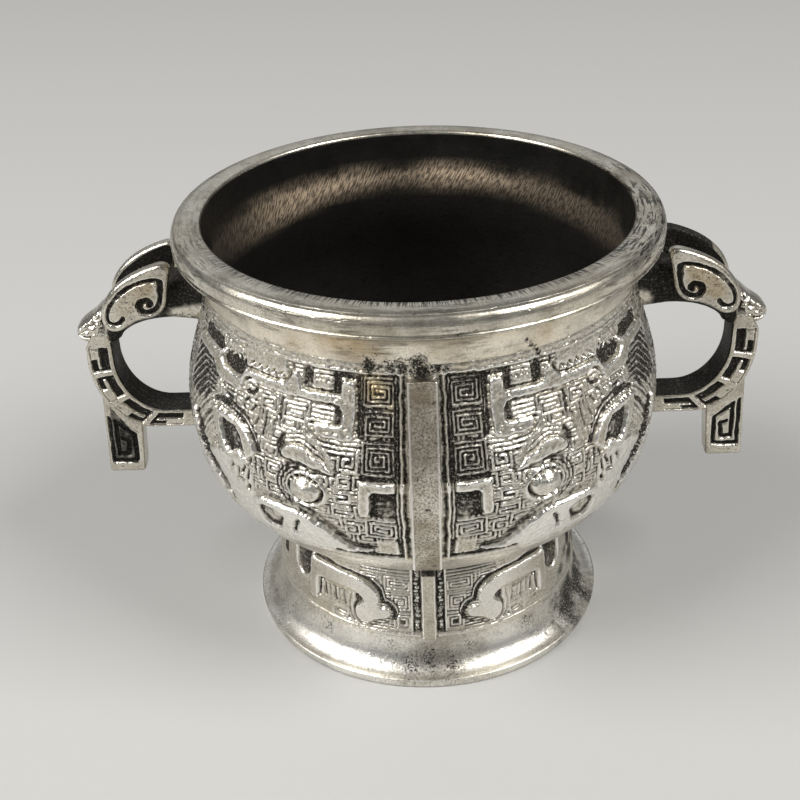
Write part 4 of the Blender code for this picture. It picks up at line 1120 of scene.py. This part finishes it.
# body, its outline, the claw, the worn marks under it, and the notch behind the tail
def dragonShape(sheet):
    ground, line, band = footLevel["ground"], footLevel["line"], footLevel["band"]
    edge = flowing(on([(13.0, 10.2), (12.4, 9.4), (13.2, 8.5), (15.0, 7.8), (17.0, 7.5), (17.7, 6.7),
                       (18.5, 5.7), (20.6, 4.9), (24, 4.3), (30, 3.95), (38, 3.8), (47, 3.8)]))
    stroke(sheet, edge[:44] - (0.45, 0.55), 0.24, ground, 0.14)
    stroke(sheet, edge[:44] - (0.25, 0.28), 0.24, line, 0.14)
    stroke(sheet, edge, 0.62, ground - 0.04, 0.16)
    stroke(sheet, flowing(on([(13.0, 10.2), (15.4, 10.9), (19, 11.3), (22, 11.9)])), 0.24,
           ground + 0.04, 0.14)
    press(sheet, dragonBody, band, 0.3)
    claw = flowing(on([(25.2, 7.8), (26.3, 7.2), (27.9, 7.2), (28.3, 7.7), (27.9, 8.3), (28.7, 9.0),
                       (29.0, 9.8), (28.3, 10.7), (26.6, 11.4), (24.6, 11.8), (24.4, 11.5), (26.4, 11.1),
                       (27.7, 10.3), (28.0, 9.5), (27.2, 8.8), (25.8, 8.4)]), True, 4)
    press(sheet, onBox(28.6, 30.6, 7.4, 11.8), line, 0.2)
    press(sheet, claw, ground - 0.04, 0.2)
    stroke(sheet, flowing(on([(29.9, 7.4), (30.5, 8.6), (30.5, 9.8), (29.7, 10.8), (27.8, 11.6)])), 0.22,
           ground + 0.06, 0.14)
    press(sheet, onBox(31.2, 45.0, 6.9, 9.9), line - 0.02, 0.25)
    for a, worn in ((32.4, 0.04), (34.6, 0.1), (36.5, 0.05), (39.2, 0.12), (41.4, 0.06)):
        stroke(sheet, on([(a, 9.5 - 3 * worn), (a + 0.5, 8.6), (a + 0.7, 7.4), (a + 1.6, 7.3)]), 0.32,
               ground + worn, 0.14)
        stroke(sheet, on([(a + 1.1, 9.2), (a + 1.5, 8.2 + 3 * worn)]), 0.28, ground + 0.1 + worn, 0.14)
    stroke(sheet, on([(42.8, 6.9), (44.8, 7.1), (45.0, 9.9)]), 0.44, ground - 0.06, 0.14)
    nest(sheet, on([(32.4, 10.7), (36.8, 11.6)]), 1, line, ground + 0.08, 0.42, 0.2)
    press(sheet, on([(29.6, 11.7), (30.8, 11.0), (31.4, 11.7)]), ground, 0.16)
    stroke(sheet, flowing(on([(50.4, 3.3), (46, 3.4), (42, 3.5), (38, 3.7)])), 0.7, ground, 0.2)
    notch = on([(50.0, 2.6), (58.4, 2.6), (59.5, 3.4), (59.6, 6.2), (58.4, 7.7), (55.8, 8.5), (52.8, 8.2),
                (50.6, 6.9), (49.8, 4.6)])
    press(sheet, flowing(notch, True), ground - 0.16, 0.4)
    stroke(sheet, dragonGroove, 1.6, ground + 0.1, 0.7)


# groove beside the flange, with a row of beads in it, and the lines that close the panel
def dragonBorders(sheet):
    ground, line, plain = footLevel["ground"], footLevel["line"], footLevel["plain"]
    stroke(sheet, on([(6.2, 1.8), (6.2, 12.2)]), 0.24, line)
    press(sheet, onBox(2.6, 5.8, 1.5, 12.3), ground - 0.05, 0.2)
    for s in np.arange(2.0, 12.2, 0.55):
        boss(sheet, on((4.2 + dice.normal(0, 0.3), s + dice.normal(0, 0.1))), (0.27, 0.2),
             line - 0.17 + dice.normal(0, 0.08))
    press(sheet, onBox(-2, 2.7, -1, 14), footLevel["low"])
    press(sheet, onBox(-2, 92, -1, 1.7), plain - 0.04, 0.3)
    press(sheet, onBox(3.0, 92, 12.2, 14), 0.05, 0.25)
    stroke(sheet, on([(3.0, 12.1), (92, 12.1)]), 0.2, ground + 0.14)


def dragonPanel(degrees, rows):
    sheet = newSheet(degrees * footPanel["degreeMm"], rows, footLevel["ground"])
    dragonField(sheet)
    dragonShape(sheet)
    dragonBorders(sheet)
    y = sheet["y"][:, None]
    sheet["h"] *= ease(y - 0.9, 0.4) * ease(12.85 - y, 0.4)
    sheet["h"] -= 0.03 * (1 - ease(y - 0.9, 0.3) * ease(12.8 - y, 0.3))
    wobbled(sheet, 1.0, 0.025)
    finishSheet(sheet, footLevel)
    sheet["recess"] *= ease(12.5 - y, 0.4) * np.interp(degrees, [0, 16, 30], [0.94, 0.94, 0.84])[None]
    bare = newSheet(sheet["x"], rows, 0.0)
    press(bare, dragonBody, 0.55, 0.3)
    sheet["wearAndSheen"] = np.maximum(sheet["wearAndSheen"], bare["h"] * np.interp(degrees, [28, 46], [1, 0.1])[None])
    shade = newSheet(sheet["x"], rows, 0.0)
    stroke(shade, dragonGroove + (0.3, 0), 1.5, 1.0, 0.5)
    sheet["recess"] = np.maximum(sheet["recess"], shade["h"])
    return sheet


def footRelief():
    degrees = np.linspace(0, 90, footPanel["cols"])
    sheet = dragonPanel(degrees, np.linspace(footPanel["top"], footPanel["bottom"], footPanel["rows"]))

    def soiled(word):
        smudged = fading(sheet["x"][None], sheet["y"][:, None], sideSoil.get(word, ()), footPanel["degreeMm"])
        return {**sheet, "recess": np.maximum(sheet["recess"], smudged)}
    reliefSectors("footRelief", footWall, foot["sunk"] - footPanel["overlap"], degrees, soiled)


footBody()
footRelief()
print("foot made")


# Bars: a rounded rectangular section carried along two edge lines, with relief on its two broad sides
def barSection(across, over):  # shares across and over the section, with the outward direction at each point
    bend = np.radians([22.5, 45, 67.5])
    sine, cosine = np.sin(bend), np.cos(bend)
    side, top = np.linspace(0, 1, across), np.linspace(-1, 1, over)
    runs = ((side, -1, 0, -1), (1, -1, sine, -cosine), (1, top, 1, 0), (1, 1, cosine, sine),
            (side[::-1], 1, 0, 1), (0, 1, -sine, cosine), (0, top[::-1], -1, 0), (0, -1, -cosine, -sine))
    return np.concatenate([np.stack(np.broadcast_arrays(*run)) for run in runs], 1)


def barShape(inner, outer, width, corner, along, across, over, sheet=None):
    # section points run from the inner to the outer line; both ends are rounded by drawing the section in
    run = arcLength((inner + outer) / 2)
    wrap = np.radians([80, 55, 28])
    tip = corner * (1 - np.sin(wrap))
    place = np.r_[tip, np.linspace(corner, run[-1] - corner, along), run[-1] - tip[::-1]]
    draw = np.r_[np.cos(wrap), np.ones(along), np.cos(wrap)[::-1]]
    low, high = pointsAt(inner, run, place), pointsAt(outer, run, place)
    thick = np.linalg.norm(high - low, axis=1)[:, None]
    ahead = (high - low) / thick
    share, flat, out, side = barSection(across, over)
    half = np.broadcast_to(np.asarray(width, float), place.shape)[:, None] / 2
    p = corner + share * (thick - 2 * corner) + corner * out * draw[:, None]
    q = flat * (half - corner) + corner * side * draw[:, None]
    recess, wearAndSheen = np.zeros(p.shape), np.zeros(p.shape)
    if sheet is not None:
        x, y = np.broadcast_to(place[:, None], p.shape), np.broadcast_to(share * sheet["y"][-1], p.shape)
        broad = (abs(side) > 0.99) * (draw[:, None] > 0.99)
        q = q + np.sign(side) * broad * sampled(sheet, "h", x, y)
        recess, wearAndSheen = broad * sampled(sheet, "recess", x, y), broad * sampled(sheet, "wearAndSheen", x, y)
    u, z = (low[:, k, None] + ahead[:, k, None] * p for k in (0, 1))
    points, faces = closedTube(np.stack([u, q, z], -1))
    masks = {"recess": np.r_[recess.ravel(), recess[0, :1], recess[-1, :1]],
             "wearAndSheen": np.r_[wearAndSheen.ravel(), 0, 0], "out": np.r_[np.broadcast_to(out, p.shape).ravel(), 0, 0]}
    return points, faces, masks


def turnedBy(points, degrees):
    c, s = np.cos(np.radians(degrees)), np.sin(np.radians(degrees))
    return np.stack([points[:, 0] * c - points[:, 1] * s,
                     points[:, 0] * s + points[:, 1] * c, points[:, 2]], -1)


strap = {"width": 3.6, "proud": 1.3, "sunk": 0.3, "round": 0.22, "top": 2.1, "bottom": 28.9, "shade": -0.5}
rib = {"width": 1.8, "proud": 1.0, "sunk": 0.3, "round": 0.2, "top": 0.4, "bottom": 12.6, "shade": 2.0}
# halves and places are shares of the width
strip = {"rows": 120, "grid": (160, 10, 26), "dish": 0.06, "dishHalf": 0.36, "edgeAt": 0.47,
         "edgeHalf": 0.06, "stain": 0.55, "stainZ": 35, "stainFade": 10, "black": 0.9}


def flangeStrip(word, node, wall, size, degrees, finish):
    span, width = (size["top"], size["bottom"], strip["rows"]), size["width"]
    inner, outer = wallLine(wall, *span, -size["sunk"]), wallLine(wall, *span, size["proud"])
    z, nr, nz = onWall(wall, np.linspace(*span))[1:]
    points, faces, masks = barShape(inner, outer, width, size["round"], *strip["grid"])
    x, y, height = points.T
    # sunk between worn edges
    dish = strip["dish"] * np.clip(1 - (y / (strip["dishHalf"] * width)) ** 6, 0, 1)
    lift = masks.pop("out") > 0.99
    outward = np.stack([np.interp(-height, -z, k) for k in (nr, nz)], -1)
    points[:, [0, 2]] -= (dish * lift)[:, None] * outward
    edge = abs(abs(y) - strip["edgeAt"] * width) < strip["edgeHalf"] * width
    masks["wearAndSheen"] = edge * (x > 0)
    masks["stain"] = strip["stain"] * ease(height - strip["stainZ"], strip["stainFade"])
    # painted shadow on each strip's top end, where the part above overhangs it; black sets how dark
    shade = strip["black"] * ease(height - z[0] + size["shade"], 0.5)
    masks["recess"] = np.maximum(masks["recess"], shade)
    makePiece(word, turnedBy(points, degrees), faces, [node], [finishes[finish]], masks)


for word, degrees in (("Front", -90), ("Rear", 90)):
    flangeStrip("bowlFlange" + word, "bowl_flange_" + word.lower(), bowlWall, strap, degrees, "strap")
    flangeStrip("footFlange" + word, "foot_flange_" + word.lower(), footWall, rib, degrees, "handle")
print("flanges made")

# Handles: shapes lie in the half plane of the right handle and are turned for the left one
loopLow, loopHigh = boxMm("right_handle_loop")
tabLow, tabHigh = boxMm("right_hanging_tab")
earLow, earHigh = boxMm("right_ear_front")
headLow, headHigh = boxMm("right_beast_head")
loop = {"reach": loopHigh[0], "floorZ": loopLow[2], "jawZ": loopHigh[2] + 0.3, "bend": (8.1, 10.7),
        "hollow": (6.6, 7.9), "side": 3.7, "floor": 2.8, "width": loopHigh[1] - loopLow[1], "round": 0.36,
        "plate": 2.0, "rims": (0.38, 0.2), "lines": 220, "grid": (240, 50, 16), "black": 0.97,
        "cells": ((0.3, 3.9, 1), (4.75, 8.35, -1), (9.3, 13.4, 1), (14.3, 18.3, -1))}
bendCentre = (loop["reach"] - loop["bend"][0], loop["floorZ"] + loop["bend"][1])
handleLevel = {"ground": -0.42, "clean": -0.05, "grain": 0.025, "wave": 0.04, "edge": 0.14}
sides = (("right", 0), ("left", 180))


def handlePiece(name, node, points, faces, masks, degrees):
    makePiece(name, turnedBy(points, degrees), faces, [node], [finishes["handle"]], masks)


# plain plate beside the muzzle, upright, quarter ellipses for the bend, then level to the belly
def loopLines():
    reach, jawZ = loop["reach"], loop["jawZ"]
    hollowCentre = (reach - loop["side"] - loop["hollow"][0], bendCentre[1])
    outer = ellipseArc(bendCentre, loop["bend"], 0, -90, 60)
    inner = ellipseArc(hollowCentre, loop["hollow"], 0, -90, 60)
    start = ([(reach - 1.3, jawZ + loop["plate"]), (reach - 0.5, jawZ + 0.6), (reach - 0.05, jawZ - 0.3)],
             [(reach - loop["side"] + 0.4, jawZ + loop["plate"]), (reach - loop["side"] + 0.05, jawZ + 0.6),
              (reach - loop["side"], jawZ - 0.3)])
    ends = [np.interp(-height, -bowlWall["path"][:, 1], bowlWall["path"][:, 0]) - 0.2
            for height in (loop["floorZ"], loop["floorZ"] + loop["floor"])]
    outer = np.concatenate([start[0], outer, [(ends[0], loop["floorZ"])]])
    inner = np.concatenate([start[1], inner, [(ends[1], loop["floorZ"] + loop["floor"])]])
    return inner, outer


# sunk cells in a row, black on the finger side, each with a slotted tongue on the outer side
def loopCells(length):
    deep, high = handleLevel["ground"], 3.3
    sheet = newSheet(np.arange(0, length, 0.06), np.linspace(0, high, 66), 0.0)
    for start, end, hand in loop["cells"]:
        x0, x1 = start + loop["plate"], end + loop["plate"]
        near, far = loop["rims"][0], high - loop["rims"][1]
        press(sheet, rectangle(x0, x1, near, far), deep, 0.22)
        held, free = (x0, x1) if hand > 0 else (x1, x0)
        middle = held + 0.5 * (free - held)
        tongue = np.array([(held, 1.75), (free - 0.4 * hand, 1.75), (free - 0.4 * hand, 2.2), (middle, 2.25),
                           (middle, far), (held, far)])
        press(sheet, tongue, 0.0, 0.3)
        stroke(sheet, np.array([(x0, far), (x1, far)]), 0.18, deep + 0.1, 0.14)
    wobbled(sheet, 0.8, 0.05)
    finishSheet(sheet, handleLevel)
    return sheet


def evenlyPaired(inner, outer, count):  # both lines at equal steps of the middle line
    run = arcLength((inner + outer) / 2)
    return [pointsAt(line, run, np.linspace(0, run[-1], count)) for line in (inner, outer)]


def handleLoops():
    inner, outer = evenlyPaired(*loopLines(), loop["lines"])
    sheet = loopCells(arcLength((inner + outer) / 2)[-1])
    points, faces, masks = barShape(inner, outer, loop["width"], loop["round"], *loop["grid"], sheet)
    finger = (masks.pop("out") < -0.5) & (points[:, 2] < loop["jawZ"] + 0.6)  # this side is dark all over
    masks["recess"] = np.maximum(masks["recess"], np.where(finger, loop["black"], 0.0))
    for word, degrees in sides:
        handlePiece(word + "HandleLoop", word + "_handle_loop", points, faces, masks, degrees)


tab = {"round": 0.4, "splay": 0.6, "cut": 0.68, "grid": (120, 80, 10),
       "paintedShade": {"right": 0.05, "left": 0.84},
       "groove": ((4.75, 9.0), (4.65, 1.9), (0.75, 1.9), (0.9, 6.1), (3.75, 8.4), (3.6, 3.2), (2.0, 3.0),
                  (1.9, 5.2), (2.8, 5.5))}


# plate from its bottom up to the loop's underside, with a squared spiral cut in both sides
def hangingTabs():
    u0, u1, bottom, splay = tabLow[0], tabHigh[0], tabLow[2], tab["splay"]
    steps = np.linspace(0, 1, 60)[:, None]

    def underLoop(u):
        share = (u - bendCentre[0]) / loop["bend"][0]
        return bendCentre[1] - (loop["bend"][1] - 0.3) * np.sqrt(1 - share ** 2)
    tall = underLoop(u0) - bottom, underLoop(u1 - splay) - bottom
    inner = np.concatenate([u0 + splay * (1 - steps), bottom + steps * tall[0]], 1)
    outer = np.concatenate([u1 - splay * steps, bottom + steps * tall[1]], 1)
    length = arcLength((inner + outer) / 2)[-1]
    width = u1 - u0 - splay
    sheet = newSheet(np.arange(0, length + 0.05, 0.05), np.linspace(0, width, 100), 0.0)
    across, rise = evenly(np.array(tab["groove"]), 160).T
    # the lines fan out towards the outer side
    along = rise / (tall[0] + (tall[1] - tall[0]) * across / width) * length
    stroke(sheet, np.stack([along, across], -1), tab["cut"], handleLevel["ground"], 0.24)
    # a sunk band where the tab meets the loop, so the wash paints a dark line of shade at the join
    stroke(sheet, np.array([(length - 0.3, 0), (length - 0.3, width)]), 0.9, handleLevel["ground"], 0.5)
    wobbled(sheet, 0.8, 0.05)
    finishSheet(sheet, handleLevel)
    # painted shade over the middle of each face, dark on the left tab and almost none on the right
    field = newSheet(sheet["x"], sheet["y"], 0.0)
    press(field, np.array([(1.5, 0.5), (1.5, width - 0.5), (length - 1.2, width - 0.5),
                           (0.66 * length, 0.5)]), 1.0, 0.4)
    for word, degrees in sides:
        own = {**sheet, "recess": np.clip(sheet["recess"] + tab["paintedShade"][word] * field["h"], 0, 1)}
        points, faces, masks = barShape(inner, outer, tabHigh[1] - tabLow[1], tab["round"], *tab["grid"], own)
        masks.pop("out")
        handlePiece(word + "HangingTab", word + "_hanging_tab", points, faces, masks, degrees)


# Ears: leaf plates whose outline is drawn in ring by ring to the middle on both faces
# field and root: where the brown and the painted shade at the root end, and how softly
ear = {"round": 0.6, "rings": 44, "steps": 300, "middle": (0.5, 0.5), "black": 0.96, "brown": 0.75,
       "soil": 0.45, "field": (0.62, 0.3), "root": (2.4, 1.2)}
earEdges = (((0.0, 0.20), (0.0, 0.55), (0.36, 0.86), (0.84, 0.99)),
            ((0.84, 0.99), (0.95, 1.02), (1.03, 0.97), (1.0, 0.86)),
            ((1.0, 0.86), (0.97, 0.73), (0.94, 0.6), (0.92, 0.47)),
            ((0.92, 0.47), (0.89, 0.31), (0.79, 0.21), (0.64, 0.19)),
            ((0.64, 0.19), (0.43, 0.17), (0.33, 0.03), (0.19, 0.0)),
            ((0.19, 0.0), (0.06, -0.02), (0.0, 0.08), (0.0, 0.20)))
earGroove = ((0.30, 0.22), (0.245, 0.15), (0.15, 0.13), (0.09, 0.18), (0.085, 0.27), (0.13, 0.39),
             (0.243, 0.526), (0.41, 0.668), (0.60, 0.745), (0.79, 0.77), (0.85, 0.735), (0.855, 0.613),
             (0.84, 0.478), (0.805, 0.382), (0.73, 0.315), (0.619, 0.294), (0.545, 0.35), (0.545, 0.42),
             (0.62, 0.472), (0.69, 0.455), (0.69, 0.40))


# shares of the ear's box, counted back from its blunt end and up from its lowest point
def earPlaces(shares):
    shares = np.asarray(shares, float)
    size = earHigh - earLow
    return np.stack([earHigh[0] - shares[..., 0] * size[0], earLow[2] + shares[..., 1] * size[2]], -1)


def earPlates():
    rings, steps, corner, black = ear["rings"], ear["steps"], ear["round"], ear["black"]
    leaf = np.concatenate([bezierCurve(edge, 24)[:-1] for edge in earEdges])
    outline = evenly(earPlaces(np.concatenate([leaf, leaf[:1]])), steps + 1)[:-1]
    sheet = newSheet(np.arange(earLow[0] - 0.3, earHigh[0] + 0.3, 0.05),
                     np.arange(earLow[2] - 0.3, earHigh[2] + 0.4, 0.05), 0.0)
    groove = flowing(earPlaces(earGroove))
    for part, width in ((groove[:40], 0.5), (groove[36:66], 0.56), (groove[60:], 0.85)):
        stroke(sheet, part, width, handleLevel["ground"], 0.2)  # broadest where it curls
    wobbled(sheet, 0.7, 0.05)
    finishSheet(sheet, handleLevel)
    middle = earPlaces(ear["middle"])
    thick = earHigh[1] - earLow[1]
    reach = np.linalg.norm(outline - middle, axis=1)
    # rings: middle of the front face out to the rounded edge, across the edge, and back to the middle
    bend = np.radians(np.linspace(0, 90, 6))[1:]
    turnIn, turnDown = corner * (1 - np.sin(bend)), corner * (1 - np.cos(bend))
    flat = np.linspace(0.02, 1, rings)
    share = np.r_[flat, np.ones(2 * len(bend)), flat[::-1]]
    roundIn = np.r_[np.full(rings, corner), turnIn, turnIn[::-1], np.full(rings, corner)]
    depth = np.r_[np.zeros(rings), turnDown, thick - turnDown[::-1], np.full(rings, thick)]
    scale = share[:, None] * (reach - roundIn[:, None]) / reach
    u, z = (middle[k] + scale * (outline[:, k] - middle[k]) for k in (0, 1))
    front = (np.arange(len(share)) < rings)[:, None]
    back = (np.arange(len(share)) >= len(share) - rings)[:, None]
    y = earLow[1] + depth[:, None] - front * sampled(sheet, "h", u, z)
    points, faces = closedTube(np.stack([u, y, z], -1))
    # the back faces, which turn in towards the other ear, are painted shade
    recess = front * sampled(sheet, "recess", u, z) + black * back
    wearAndSheen = front * sampled(sheet, "wearAndSheen", u, z)
    (fieldEnd, fieldSoft), (rootEnd, rootSoft) = ear["field"], ear["root"]
    field = ease(fieldEnd - share[:, None], fieldSoft) * front * np.ones(steps)  # brown inside the groove
    field = np.r_[field.ravel(), 1, 0]
    masks = {"recess": np.r_[recess.ravel(), 0, black], "wearAndSheen": np.r_[wearAndSheen.ravel(), 0, 0],
             "stain": ear["brown"] * field, "soil": ear["soil"] * field}
    # painted shade at the root of the right rear ear, down between the ears
    root = ~front * ease(earHigh[0] - rootEnd - u, rootSoft)
    rootShaded = {**masks, "recess": np.r_[np.maximum(recess, black * root).ravel(), 0, black]}
    for word, degrees in sides:
        for place, sense in (("front", 1), ("rear", -1)):
            turnedSense = sense if degrees == 0 else -sense
            shape = turnedBy(points * (1, turnedSense, 1), degrees)
            own = rootShaded if (word, place) == ("right", "rear") else masks
            makePiece(f"{word}Ear{place.title()}", shape, facing(shape, faces),
                      [f"{word}_ear_{place}"], [finishes["handle"]], own)


# Heads: sections between an upper and a lower line, broad at the neck and drawn together at the nose
head = {"width": headHigh[1] - headLow[1], "muzzle": 3.8, "square": 3.2, "rows": 150, "around": 150,
        # the two black shares are painted shade: on the neck and crown, and under the head near the bowl
        "broadTo": 39.0, "nose": 1.1, "closing": (0.86, 0.16, 2.4), "cheek": (0.72, 0.35),
        "crown": (3.3, 0.8), "under": (2.6, 0.8), "black": 0.97, "underShade": 0.9,
        "bare": {"right": 30.6, "left": 33.2}}


def headLines():
    reach, jawZ = loop["reach"], loop["jawZ"]
    root = bowl["neck"] - 0.4
    archEnd = reach - loop["side"] - 1.1
    arch = ellipseArc((archEnd - 6.9, jawZ), (6.9, 3.8), 100, 12, 30)
    jaw = bezierCurve([(archEnd + 0.2, jawZ + 0.6), (archEnd + 0.5, jawZ + 0.1), (archEnd + 1, jawZ + 0.05),
                       (reach - 1.5, jawZ + 0.1)], 10)
    chin = bezierCurve([(reach - 0.9, jawZ + 0.15), (reach + 0.6, jawZ + 0.2), (reach + 1.1, jawZ + 0.9),
                        (reach + 1.05, jawZ + 1.7)], 14)
    lower = np.concatenate([[(root, neckZ - 7.8)], arch, jaw, chin])
    upper = flowing([(root, neckZ + 1.0), (33.5, jawZ + 9.4), (36.5, jawZ + 8.3), (39, jawZ + 7.6),
                     (41.4, jawZ + 6.6), (43.0, jawZ + 5.4), (44.2, jawZ + 4.3), (45.2, jawZ + 3.6),
                     (46.0, jawZ + 3.0), (46.55, jawZ + 2.3), (46.66, jawZ + 1.7)], each=10)
    return evenly(lower, head["rows"]), evenly(upper, head["rows"])


# ringed eye, cheek and nose beads with dark gaps between, a short mouth line, knobbly all over
def faceSheet():
    reach, jawZ = loop["reach"], loop["jawZ"]
    sheet = newSheet(np.arange(28, reach + 2.2, 0.05), np.arange(jawZ - 1, neckZ + 2.5, 0.05), 0.0)
    deep = -0.34
    press(sheet, np.array([(reach - 3.2, jawZ + 2.2), (reach + 0.9, jawZ + 2.0), (reach - 0.4, jawZ + 4.0),
                           (reach - 2.0, jawZ + 6.0), (reach - 3.3, jawZ + 5.4)]), -0.2, 0.5)
    eye = (reach - 2.1, jawZ + 4.6)
    stroke(sheet, eye + ellipseArc((0, 0), (0.75, 0.72), 0, 360, 24), 0.34, 0.2, 0.2)
    boss(sheet, eye, (0.36, 0.36), 0.12)
    for place, half, rise in (((-1.0, 3.7), (0.6, 0.6), 0.38), ((-1.5, 2.5), (0.7, 0.55), 0.32),
                              ((-0.2, 3.0), (0.6, 0.55), 0.4), ((0.5, 2.4), (0.5, 0.5), 0.38),
                              ((-0.6, 1.9), (0.55, 0.4), 0.3), ((0.3, 1.6), (0.4, 0.35), 0.26),
                              ((-2.3, 3.3), (0.5, 0.5), 0.26), ((-0.1, 3.9), (0.4, 0.4), 0.24),
                              ((-2.2, 1.8), (0.5, 0.35), 0.18)):
        boss(sheet, (reach + place[0], jawZ + place[1]), half, rise)
    stroke(sheet, flowing([(reach - 3.2, jawZ + 5.0), (reach - 2.4, jawZ + 5.8),
                           (reach - 1.2, jawZ + 5.2)]), 0.36, 0.2, 0.3)
    stroke(sheet, flowing([(reach + 0.9, jawZ + 1.5), (reach - 0.4, jawZ + 1.3),
                           (reach - 1.7, jawZ + 1.5)]), 0.24, deep, 0.16)
    finishSheet(sheet, {**handleLevel, "ground": deep, "grain": 0.05, "wave": 0.04})
    return sheet


def beastHeads():
    lower, upper = headLines()
    reach, broadTo = loop["reach"], head["broadTo"]
    t = np.linspace(0, 1, head["rows"])
    turn = np.linspace(0, 2 * np.pi, head["around"], endpoint=False)
    c, s = (np.sign(k) * abs(k) ** (2 / head["square"]) for k in (np.cos(turn), np.sin(turn)))
    middle, half = (lower + upper) / 2, (upper - lower) / 2
    share = np.clip((middle[:, 0] - broadTo) / (reach + head["nose"] - broadTo), 0, 1)
    broad = (head["width"] + (head["muzzle"] - head["width"]) * share) / 2
    start, run, power = head["closing"]
    broad *= np.clip(1 - ((t - start) / run).clip(0, None) ** power, 0.05, 1)  # nose closes in a rounded end
    u, z = (middle[:, k, None] + half[:, k, None] * c for k in (0, 1))
    sheet = faceSheet()
    level, soft = head["cheek"]
    cheek = ease(abs(s) - level, soft)
    y = broad[:, None] * s + np.sign(s) * cheek * sampled(sheet, "h", u, z)
    points, faces = closedTube(np.stack([u, y, z], -1))
    (crown, crownSoft), (below, belowSoft) = head["crown"], head["under"]
    back = ease(reach - crown - u, crownSoft)  # painted shade on the neck and on the crown between the ears
    recess = np.maximum(cheek * sampled(sheet, "recess", u, z), head["black"] * back)
    # painted shade under the head near where it meets the bowl
    under = ease(-c - 0.55, 0.3) * ease(reach - below - u, belowSoft)
    wearAndSheen = cheek * sampled(sheet, "wearAndSheen", u, z)
    for word, degrees in sides:
        pale = ease(head["bare"][word] - u, 2.0) * ease(-c - 0.3, 0.5)  # rubbed bare where it meets the bowl
        kept = np.maximum(recess, head["underShade"] * under) * (1 - 0.75 * pale)
        masks = {"recess": np.r_[kept.ravel(), 0.9, 0], "wearAndSheen": np.r_[wearAndSheen.ravel(), 0, 0]}
        handlePiece(word + "BeastHead", word + "_beast_head", points, faces, masks, degrees)


handleLoops()
hangingTabs()
earPlates()
beastHeads()
print("handles made")

# Floor and light
studio = {"floor": (0.51, 0.51, 0.50), "floorRough": 0.55, "floorSize": 6.0, "sky": 0.18,
          "skyTint": (0.96, 0.98, 1.0, 1.0)}
warm, clear = (1.0, 0.98, 0.95), (1.0, 1.0, 1.0)
# name, place, aim, size, power, tint
lights = (("leftKey", (-0.66, -0.28, 0.70), (0, 0, 0.03), (0.6, 0.6), 9.3, warm),
          ("rightKey", (0.56, -0.28, 0.72), (0, 0, 0.03), (0.42, 0.42), 6.4, warm),
          ("backWall", (-0.1, 0.95, 0.62), (0, 0, 0.05), (1.5, 0.7), 1.35, clear))


def softLight(name, place, aim, size, power, tint):
    light = bpy.data.lights.new(name, "AREA")
    light.shape = "RECTANGLE"
    light.size, light.size_y = size
    light.energy = power
    light.color = tint
    lamp = bpy.data.objects.new(name, light)
    ahead = np.subtract(aim, place)
    ahead = ahead / np.linalg.norm(ahead)
    side = np.cross(ahead, (0, 0, 1))
    side = side / np.linalg.norm(side)
    lamp.matrix_world = posed(side, np.cross(side, ahead), ahead, place)
    bpy.context.scene.collection.objects.link(lamp)


def setStage():
    half = studio["floorSize"] / 2
    mesh = bpy.data.meshes.new("floor")
    mesh.from_pydata([(-half, -half, 0), (half, -half, 0), (half, half, 0), (-half, half, 0)],
                     [], [(0, 1, 2, 3)])
    floor = bpy.data.objects.new("floor", mesh)
    bpy.context.scene.collection.objects.link(floor)
    material = bpy.data.materials.new("paleFloor")
    material.use_nodes = True
    shader = material.node_tree.nodes["Principled BSDF"]
    shader.inputs["Base Color"].default_value = (*studio["floor"], 1.0)
    shader.inputs["Roughness"].default_value = studio["floorRough"]
    mesh.materials.append(material)
    world = bpy.data.worlds.new("studio")
    world.use_nodes = True
    sky = world.node_tree.nodes["Background"].inputs
    sky["Color"].default_value = studio["skyTint"]
    sky["Strength"].default_value = studio["sky"]
    bpy.context.scene.world = world
    bpy.context.scene.view_settings.view_transform = "Standard"
    for light in lights:
        softLight(*light)


setStage()
print("stage set")
